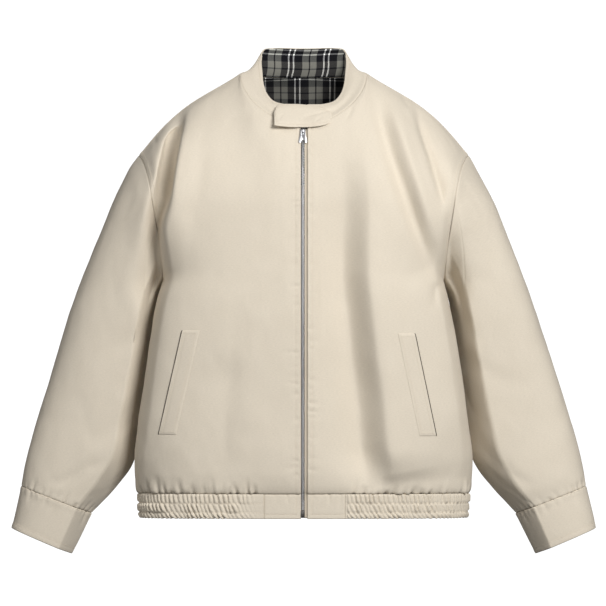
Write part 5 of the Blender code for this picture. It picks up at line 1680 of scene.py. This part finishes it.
TOOTH_PITCH = 0.00125
TOOTH_SIZE = (0.0031, 0.0017, 0.00085)
TOOTH_NOSE = (0.0011, 0.0021, 0.00062)
TOOTH_OFFSET = 0.00085  # of its middle from the zip's middle
TEETH_DEPTH = SHELL + 0.0003
TAPE_ROWS = 230


def teeth_piece(line):
    """The closed teeth, which reach in from the left and the right by turns."""
    body = hard_piece("zip_teeth", TOOTH_SIZE, 0.00022)
    nose = hard_piece("tooth_nose", TOOTH_NOSE, 0.00018)
    only(nose)
    bpy.ops.transform.translate(value=(-TOOTH_SIZE[0] / 2 + 0.0001, 0.0, 0.0))
    bpy.ops.object.transform_apply(location=True, rotation=True, scale=True)
    body.select_set(True)
    bpy.context.view_layer.objects.active = body
    bpy.ops.object.join()
    template = body.data
    places = []
    z = BOX_TOP_Z + 0.0012
    side = 1
    while z < CHAIN_TOP_Z:
        point, up, out = on_zip(line, z, TEETH_DEPTH)
        right = np.array([float(side), 0.0, 0.0])
        places.append((point + right * TOOTH_OFFSET, right, out * side, up))
        side = -side
        z += TOOTH_PITCH
    piece = scattered("zip_teeth_row", template, places)
    bpy.data.objects.remove(body)
    return piece


def tape_piece(side_name, line, top_z):
    """A zip tape: a woven strip with a corded edge beside the teeth."""
    side = 1 if side_name == "left" else -1
    width = TAPE_WIDTH
    across = np.concatenate([np.linspace(0.0, 0.0024, 9), np.linspace(0.0024, width, 18)[1:]])
    heights = np.linspace(HEM_Z + 0.0006, top_z, TAPE_ROWS + 1)
    rows = []
    for z in heights:
        point, _, _ = on_zip(line, float(z), SHELL + TAPE_BEHIND)
        start = point + np.array([side * (CHAIN_WIDTH / 2 + 0.0001), 0.0, 0.0])
        rows.append(start + np.outer(across * side, np.array([1.0, 0.0, 0.0])))
    grid = np.array(rows)
    grid = grid if side > 0 else grid[:, ::-1]
    sheet = Sheet(f"zip_tape_{side_name}", grid, TAPE_THICKNESS)
    inner = sheet.from_first if side > 0 else sheet.from_last
    sheet.move(0.00045 * np.sin(math.pi * np.clip(inner / 0.0016, 0.0, 1.0)))
    return sheet


def metal_copy(frame_node, name, body, bevel):
    """A smoother copy of one of the zip's metal parts."""
    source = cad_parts[frame_node]
    item = source.copy()
    item.data = source.data.copy()
    item.name = name
    item.data.name = name
    bpy.context.scene.collection.objects.link(item)
    item.parent = None
    item.hide_render = False
    item.hide_viewport = False
    item.data.materials.clear()
    shape = bmesh.new()
    shape.from_mesh(item.data)
    bmesh.ops.remove_doubles(shape, verts=shape.verts, dist=1e-6)
    bmesh.ops.dissolve_limit(shape, angle_limit=0.02, verts=shape.verts, edges=shape.edges)
    shape.to_mesh(item.data)
    shape.free()
    only(item)
    bevelled(item, bevel, 2, math.radians(30))
    bpy.ops.object.shade_smooth_by_angle(angle=math.radians(40))
    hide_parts(frame_node)
    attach(item, body)
    return item


# ---------------- materials


class Finish:
    """A material's nodes, wired by small calls."""

    def __init__(self, name, roughness, metallic=0.0):
        self.material = bpy.data.materials.new(name)
        self.material.use_nodes = True
        self.tree = self.material.node_tree
        self.shader = self.tree.nodes["Principled BSDF"]
        self.shader.inputs["Roughness"].default_value = roughness
        self.shader.inputs["Metallic"].default_value = metallic

    def node(self, kind, *inputs, **settings):
        """A node with its settings made and its first inputs linked or set; its first output."""
        made = self.tree.nodes.new(kind)
        for key, value in settings.items():
            setattr(made, key, value)
        for k, value in enumerate(inputs):
            if value is None:
                continue
            if isinstance(value, bpy.types.NodeSocket):
                self.tree.links.new(value, made.inputs[k])
            else:
                made.inputs[k].default_value = value
        return made.outputs[0]

    def math(self, operation, *inputs):
        """The result of a maths node."""
        return self.node("ShaderNodeMath", *inputs, operation=operation)

    def mix(self, factor, first, second):
        """Two colours mixed by a factor."""
        made = self.tree.nodes.new("ShaderNodeMix")
        made.data_type = "RGBA"
        for socket, value in (
            (made.inputs["Factor"], factor),
            (made.inputs[6], first),
            (made.inputs[7], second),
        ):
            if isinstance(value, bpy.types.NodeSocket):
                self.tree.links.new(value, socket)
            elif isinstance(value, tuple):
                socket.default_value = (*value[:3], 1.0)
            else:
                socket.default_value = value
        return made.outputs[2]

    def blend(self, kind, first, second, weight=1.0):
        """Two colours blended, with the second one's weight over 1 made up by brightening it."""
        if weight > 1.0:
            second = self.blend("MULTIPLY", second, (weight, weight, weight))
        made = self.tree.nodes.new("ShaderNodeMix")
        made.data_type = "RGBA"
        made.blend_type = kind
        made.inputs["Factor"].default_value = 1.0
        for socket, value in ((made.inputs[6], first), (made.inputs[7], second)):
            if isinstance(value, tuple):
                socket.default_value = (*value, 1.0)
            else:
                self.tree.links.new(value, socket)
        return made.outputs[2]

    def ramp(self, value, stops, constant=False):
        """A colour ramp over a value."""
        made = self.tree.nodes.new("ShaderNodeValToRGB")
        ramp = made.color_ramp
        ramp.interpolation = "CONSTANT" if constant else "LINEAR"
        while len(ramp.elements) > 1:
            ramp.elements.remove(ramp.elements[-1])
        ramp.elements[0].position = stops[0][0]
        ramp.elements[0].color = (*stops[0][1], 1.0)
        for position, colour in stops[1:]:
            ramp.elements.new(position).color = (*colour, 1.0)
        self.tree.links.new(value, made.inputs[0])
        return made.outputs[0]

    def flat_place(self):
        """The place on the flat cloth, as u and v in metres."""
        uv = self.tree.nodes.new("ShaderNodeUVMap")
        uv.uv_map = "cloth"
        split = self.tree.nodes.new("ShaderNodeSeparateXYZ")
        self.tree.links.new(uv.outputs[0], split.inputs[0])
        return uv.outputs[0], split.outputs[0], split.outputs[1]

    def noise(self, place, scale, detail=2.0, roughness=0.5):
        """Soft noise at a place, 0 to 1."""
        made = self.tree.nodes.new("ShaderNodeTexNoise")
        made.inputs["Scale"].default_value = scale
        made.inputs["Detail"].default_value = detail
        made.inputs["Roughness"].default_value = roughness
        self.tree.links.new(place, made.inputs["Vector"])
        return made.outputs[0]

    def object_place(self):
        """The place in the object's own space."""
        return self.tree.nodes.new("ShaderNodeTexCoord").outputs["Object"]

    def bump(self, height, distance, strength=1.0):
        """Joins a height to the shader's normal."""
        made = self.tree.nodes.new("ShaderNodeBump")
        made.inputs["Strength"].default_value = strength
        made.inputs["Distance"].default_value = distance
        self.tree.links.new(height, made.inputs["Height"])
        self.tree.links.new(made.outputs[0], self.shader.inputs["Normal"])

    def colour(self, value):
        """Joins a colour to the shader, or sets it."""
        socket = self.shader.inputs["Base Color"]
        if isinstance(value, tuple):
            socket.default_value = (*value, 1.0)
        else:
            self.tree.links.new(value, socket)


COTTON_LIGHT = (0.730, 0.655, 0.540)
COTTON_DARK = (0.690, 0.612, 0.495)
THREAD_PITCH = 0.00042  # between the twill's ribs


def twill(finish, u, v, pitch):
    """The height of slanted twill ribs, 0 to 1."""
    slant = finish.math("ADD", u, finish.math("MULTIPLY", v, 1.15))
    turn = finish.math("MULTIPLY", slant, 2 * math.pi / pitch)
    rib = finish.math("SINE", turn)
    along_rib = finish.math("MULTIPLY", finish.math("SUBTRACT", u, v), 2 * math.pi / (pitch * 1.6))
    beads = finish.math("MULTIPLY", finish.math("SINE", along_rib), 0.35)
    total = finish.math("ADD", rib, beads)
    return finish.math("MULTIPLY_ADD", total, 0.37, 0.5)


# Painted shadow: the dark brown painted along a pocket welt's opening, where the slit lies in shade,
# and the half width of that strip
MOUTH_PAINTED_SHADOW = (0.075, 0.062, 0.047)
PAINTED_SHADOW_WIDTH = 0.0014


def cotton_finish(name, painted_mouth_shadow=False):
    """The shell's twill cotton; with the flag set, a dark strip of painted shadow along a welt's
    opening.
    """
    finish = Finish(name, 0.86)
    place, u, v = finish.flat_place()
    weave = twill(finish, u, v, THREAD_PITCH)
    cloudy = finish.noise(place, 26.0, 3.0)
    stretched = finish.node("ShaderNodeVectorMath", place, (0.28, 1.0, 1.0), operation="MULTIPLY")
    slubs = finish.noise(stretched, 900.0, 3.0, 0.7)
    tone = finish.math("MULTIPLY_ADD", cloudy, 0.75, 0.10)
    base = finish.mix(tone, COTTON_LIGHT, COTTON_DARK)
    shade = finish.ramp(slubs, ((0.3, (0.88, 0.88, 0.88)), (0.7, (1.0, 1.0, 1.0))))
    base = finish.blend("MULTIPLY", base, shade)
    # Painted shadow: a dark strip along the welt's opening, standing for the shade in the pocket slit
    if painted_mouth_shadow:
        deep = finish.math("LESS_THAN", finish.math("ABSOLUTE", u), PAINTED_SHADOW_WIDTH)
        base = finish.mix(deep, base, MOUTH_PAINTED_SHADOW)
    finish.colour(base)
    uneven = finish.math("MULTIPLY_ADD", slubs, 0.6, weave)
    finish.bump(uneven, 0.00008, 0.55)
    finish.shader.inputs["Sheen Weight"].default_value = 0.10
    finish.shader.inputs["Sheen Roughness"].default_value = 0.5
    finish.shader.inputs["Specular IOR Level"].default_value = 0.25
    return finish.material


# The check's stripes, from the pale pair on: each one's width and whether it's pale, white or dark
STRIPES = (
    (0.0100, "pale"),
    (0.0021, "dark"),
    (0.0100, "pale"),
    (0.0104, "dark"),
    (0.0022, "white"),
    (0.0054, "dark"),
    (0.0022, "white"),
    (0.0127, "dark"),
)
WARP = {"pale": (0.138, 0.138, 0.125), "white": (0.42, 0.42, 0.41), "dark": (0.005, 0.005, 0.007)}
WEFT = {"pale": (0.085, 0.081, 0.073), "white": (0.33, 0.33, 0.32), "dark": (0.005, 0.005, 0.007)}
CROSSING = 6.0  # how much paler two pale stripes look where they cross


def stripe_stops(colours):
    """The ramp stops of one repeat of the check."""
    repeat = sum(width for width, _ in STRIPES)
    stops, reached = [], 0.0
    for width, kind in STRIPES:
        stops.append((reached / repeat, colours[kind]))
        reached += width
    return stops, repeat


def check_finish():
    """The lining's checked cotton."""
    finish = Finish("checked_lining", 0.9)
    place, u, v = finish.flat_place()
    threads = []
    for coordinate, colours in ((u, WARP), (v, WEFT)):
        stops, repeat = stripe_stops(colours)
        turn = finish.math("FRACT", finish.math("MULTIPLY_ADD", coordinate, 1 / repeat, 40.0))
        threads.append(finish.ramp(turn, stops, True))
    weave = twill(finish, u, v, 0.0009)
    share = finish.math("MULTIPLY_ADD", weave, -0.5, 0.62)
    woven = finish.mix(share, *threads)
    crossing = finish.blend("MULTIPLY", *threads)
    finish.colour(finish.blend("ADD", woven, crossing, CROSSING))
    finish.bump(weave, 0.0001, 0.6)
    finish.shader.inputs["Sheen Weight"].default_value = 0.05
    finish.shader.inputs["Specular IOR Level"].default_value = 0.15
    return finish.material


def thread_finish():
    """Sewing thread, a little lighter than the cloth."""
    finish = Finish("thread", 0.6)
    fuzz = finish.noise(finish.object_place(), 2200.0)
    finish.colour(finish.mix(fuzz, (0.72, 0.64, 0.52), (0.60, 0.52, 0.41)))
    finish.bump(fuzz, 0.00006, 0.5)
    return finish.material


def tape_finish():
    """The zip's woven tape."""
    finish = Finish("woven_tape", 0.8)
    place, u, v = finish.flat_place()
    rib = finish.math("SINE", finish.math("MULTIPLY", v, 2 * math.pi / 0.0008))
    cords = finish.math("SINE", finish.math("MULTIPLY", u, 2 * math.pi / 0.0006))
    weave = finish.math("MULTIPLY_ADD", finish.math("MULTIPLY", rib, cords), 0.5, 0.5)
    tone = finish.math("MULTIPLY_ADD", finish.noise(place, 700.0), 0.4, 0.3)
    finish.colour(finish.mix(tone, (0.60, 0.53, 0.42), (0.47, 0.40, 0.31)))
    finish.bump(weave, 0.0001, 0.6)
    return finish.material


def metal_finish(name, clean, worn):
    """The zip's nickel, lightly worn."""
    finish = Finish(name, 0.28, 1.0)
    place = finish.object_place()
    smudge = finish.noise(place, 160.0, 3.0, 0.6)
    grain = finish.noise(place, 3200.0, 2.0, 0.7)
    finish.colour(finish.mix(smudge, clean, worn))
    rough = finish.math("MULTIPLY_ADD", grain, 0.22, 0.20)
    finish.tree.links.new(rough, finish.shader.inputs["Roughness"])
    finish.bump(grain, 0.00003, 0.3)
    return finish.material


# ---------------- building the jacket


def stitch_template():
    """One short stitch of thread, lying along X."""
    item = hard_piece("stitch", (0.0023, 0.00052, 0.00042), 0.00014, 1)
    mesh = item.data.copy()
    bpy.data.objects.remove(item)
    return mesh


FINISHES = {
    "cotton": cotton_finish("cotton_twill"),
    # The welts' cotton, with a painted shadow along the pocket opening
    "painted_mouth_shadow": cotton_finish("cotton_twill_painted_shadow", True),
    "tartan_lining": check_finish(),
    "zip_tape": tape_finish(),
    "zip_metal": metal_finish("nickel", (0.86, 0.86, 0.88), (0.66, 0.66, 0.68)),
    "dark_metal": metal_finish("dark_nickel", (0.22, 0.21, 0.20), (0.13, 0.12, 0.11)),
    "thread": thread_finish(),
}


def dress(item, look, *nodes):
    """Gives a piece its material, its body and the nodes that it stands for."""
    item.data.materials.append(FINISHES[look])
    if nodes:
        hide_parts(*nodes)
    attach(item, BODY)
    return item


def all_sheets():
    """Every cloth piece's sheet by name."""
    grids = half_grids()
    sheets = {name: panel_sheet(name, grid) for name, grid in grids.items()}
    back = grids["back"]
    for side_name, front_edge, back_edge in (
        ("left", grids["front_left"][:, -1], back[:, 0]),
        ("right", grids["front_right"][:, 0], back[:, -1]),
    ):
        sleeve = sleeve_sheet(side_name, front_edge, back_edge)
        sheets[sleeve.name] = sleeve
        sheets[f"cuff_{side_name}"] = cuff_sheet(side_name, sleeve.points.shape[1])
    for sheet in collar_sheets(grids):
        sheets[sheet.name] = sheet
    sheets["back_lining"] = back_lining_sheet(grids)
    sheets["collar_tab"] = tab_sheet(sheets["collar"])
    sheets["hem_elastic"] = elastic_sheet()
    for side_name in ("left", "right"):
        sheets[f"hem_front_{side_name}"] = plain_band_sheet(side_name)
        welt = welt_sheet(side_name, sheets[f"front_{side_name}"])
        sheets[welt.name] = welt
    return sheets, grids


def build_jacket():
    """Builds and dresses every piece; returns the cloth pieces by name."""
    sheets, grids = all_sheets()
    pieces = {}
    for name, sheet in sheets.items():
        look = "tartan_lining" if name.endswith("lining") else "cotton"
        item = sheet.build()
        item.name = f"{name}_cloth"
        pieces[name] = dress(item, look, name)
        # The welts take the cotton with the painted shadow along their openings
        if name.startswith("pocket_welt"):
            item.data.materials[0] = FINISHES["painted_mouth_shadow"]
    line = zip_line(grids["front_left"])
    top_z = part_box("zip_tape_left")[1].z
    for side_name in ("left", "right"):
        name = f"zip_tape_{side_name}"
        item = tape_piece(side_name, line, top_z).build()
        item.name = f"{name}_cloth"
        pieces[name] = dress(item, "zip_tape", name)
    dress(teeth_piece(line), "zip_metal", "zip_chain")
    template = stitch_template()
    for name, places in stitch_rows(sheets).items():
        dress(scattered(name, template, places), "thread")
    for node, body in (("zip_slider", BODY), ("zip_box", BODY), ("zip_pull", PULL_BODY)):
        item = metal_copy(node, f"{node}_metal", body, 0.00012)
        item.data.materials.append(FINISHES["dark_metal" if node == "zip_box" else "zip_metal"])
    return pieces


PIECES = build_jacket()

# The fields of a piece's cut: width, length and area of the flat cloth, how it's held and on what
Cut = namedtuple("Cut", "width length area held rests_on")

# ---------------- stage, light and camera


BACKDROP_RADIUS = 30.0


def backdrop():
    """A plain white shell round the whole stage, which only the camera sees."""
    bpy.ops.mesh.primitive_uv_sphere_add(segments=48, ring_count=24, radius=BACKDROP_RADIUS)
    item = bpy.context.object
    item.name = "backdrop"
    item.data.flip_normals()
    finish = Finish("backdrop_white", 1.0)
    finish.colour((1.0, 1.0, 1.0))
    finish.shader.inputs["Emission Color"].default_value = (1.0, 1.0, 1.0, 1.0)
    finish.shader.inputs["Emission Strength"].default_value = 1.0
    item.data.materials.append(finish.material)
    item.visible_diffuse = False
    item.visible_glossy = False
    item.visible_transmission = False
    item.visible_shadow = False


def lamp(name, place, target, size, power):
    """A square area light that faces a target."""
    data = bpy.data.lights.new(name, "AREA")
    data.size = size
    data.energy = power
    item = bpy.data.objects.new(name, data)
    bpy.context.scene.collection.objects.link(item)
    item.location = place
    item.rotation_euler = (Vector(target) - Vector(place)).to_track_quat("-Z", "Y").to_euler()


FRAME_MIDDLE = (-0.001, 0.0, -0.356)
FRAME_WIDTH = 0.939
CAMERA_DISTANCE = 12.0
MIDDLE = (0.0, 0.0, -0.35)  # of the jacket, where the lamps face
SURROUND = 0.15  # strength of the even light from all round

backdrop()
lamp("key", (1.40, -2.9, 1.20), MIDDLE, 1.2, 122.0)
lamp("upper_left", (-2.4, -1.6, 2.0), (-0.2, 0.0, -0.25), 1.4, 20.0)
lamp("panel", (-0.9, -3.3, 0.3), MIDDLE, 1.8, 13.0)

world = bpy.data.worlds.new("studio")
world.use_nodes = True
background = world.node_tree.nodes["Background"]
background.inputs["Color"].default_value = (1.0, 1.0, 1.0, 1.0)
background.inputs["Strength"].default_value = SURROUND
bpy.context.scene.world = world

camera_data = bpy.data.cameras.new("camera")
camera_data.sensor_width = 36.0
camera_data.lens = 36.0 * CAMERA_DISTANCE / FRAME_WIDTH
camera_data.clip_end = 100.0
camera = bpy.data.objects.new("camera", camera_data)
bpy.context.scene.collection.objects.link(camera)
camera.location = (FRAME_MIDDLE[0], -CAMERA_DISTANCE, FRAME_MIDDLE[2])
camera.rotation_euler = (math.pi / 2, 0.0, 0.0)
bpy.context.scene.camera = camera
bpy.context.scene.view_settings.view_transform = "Standard"
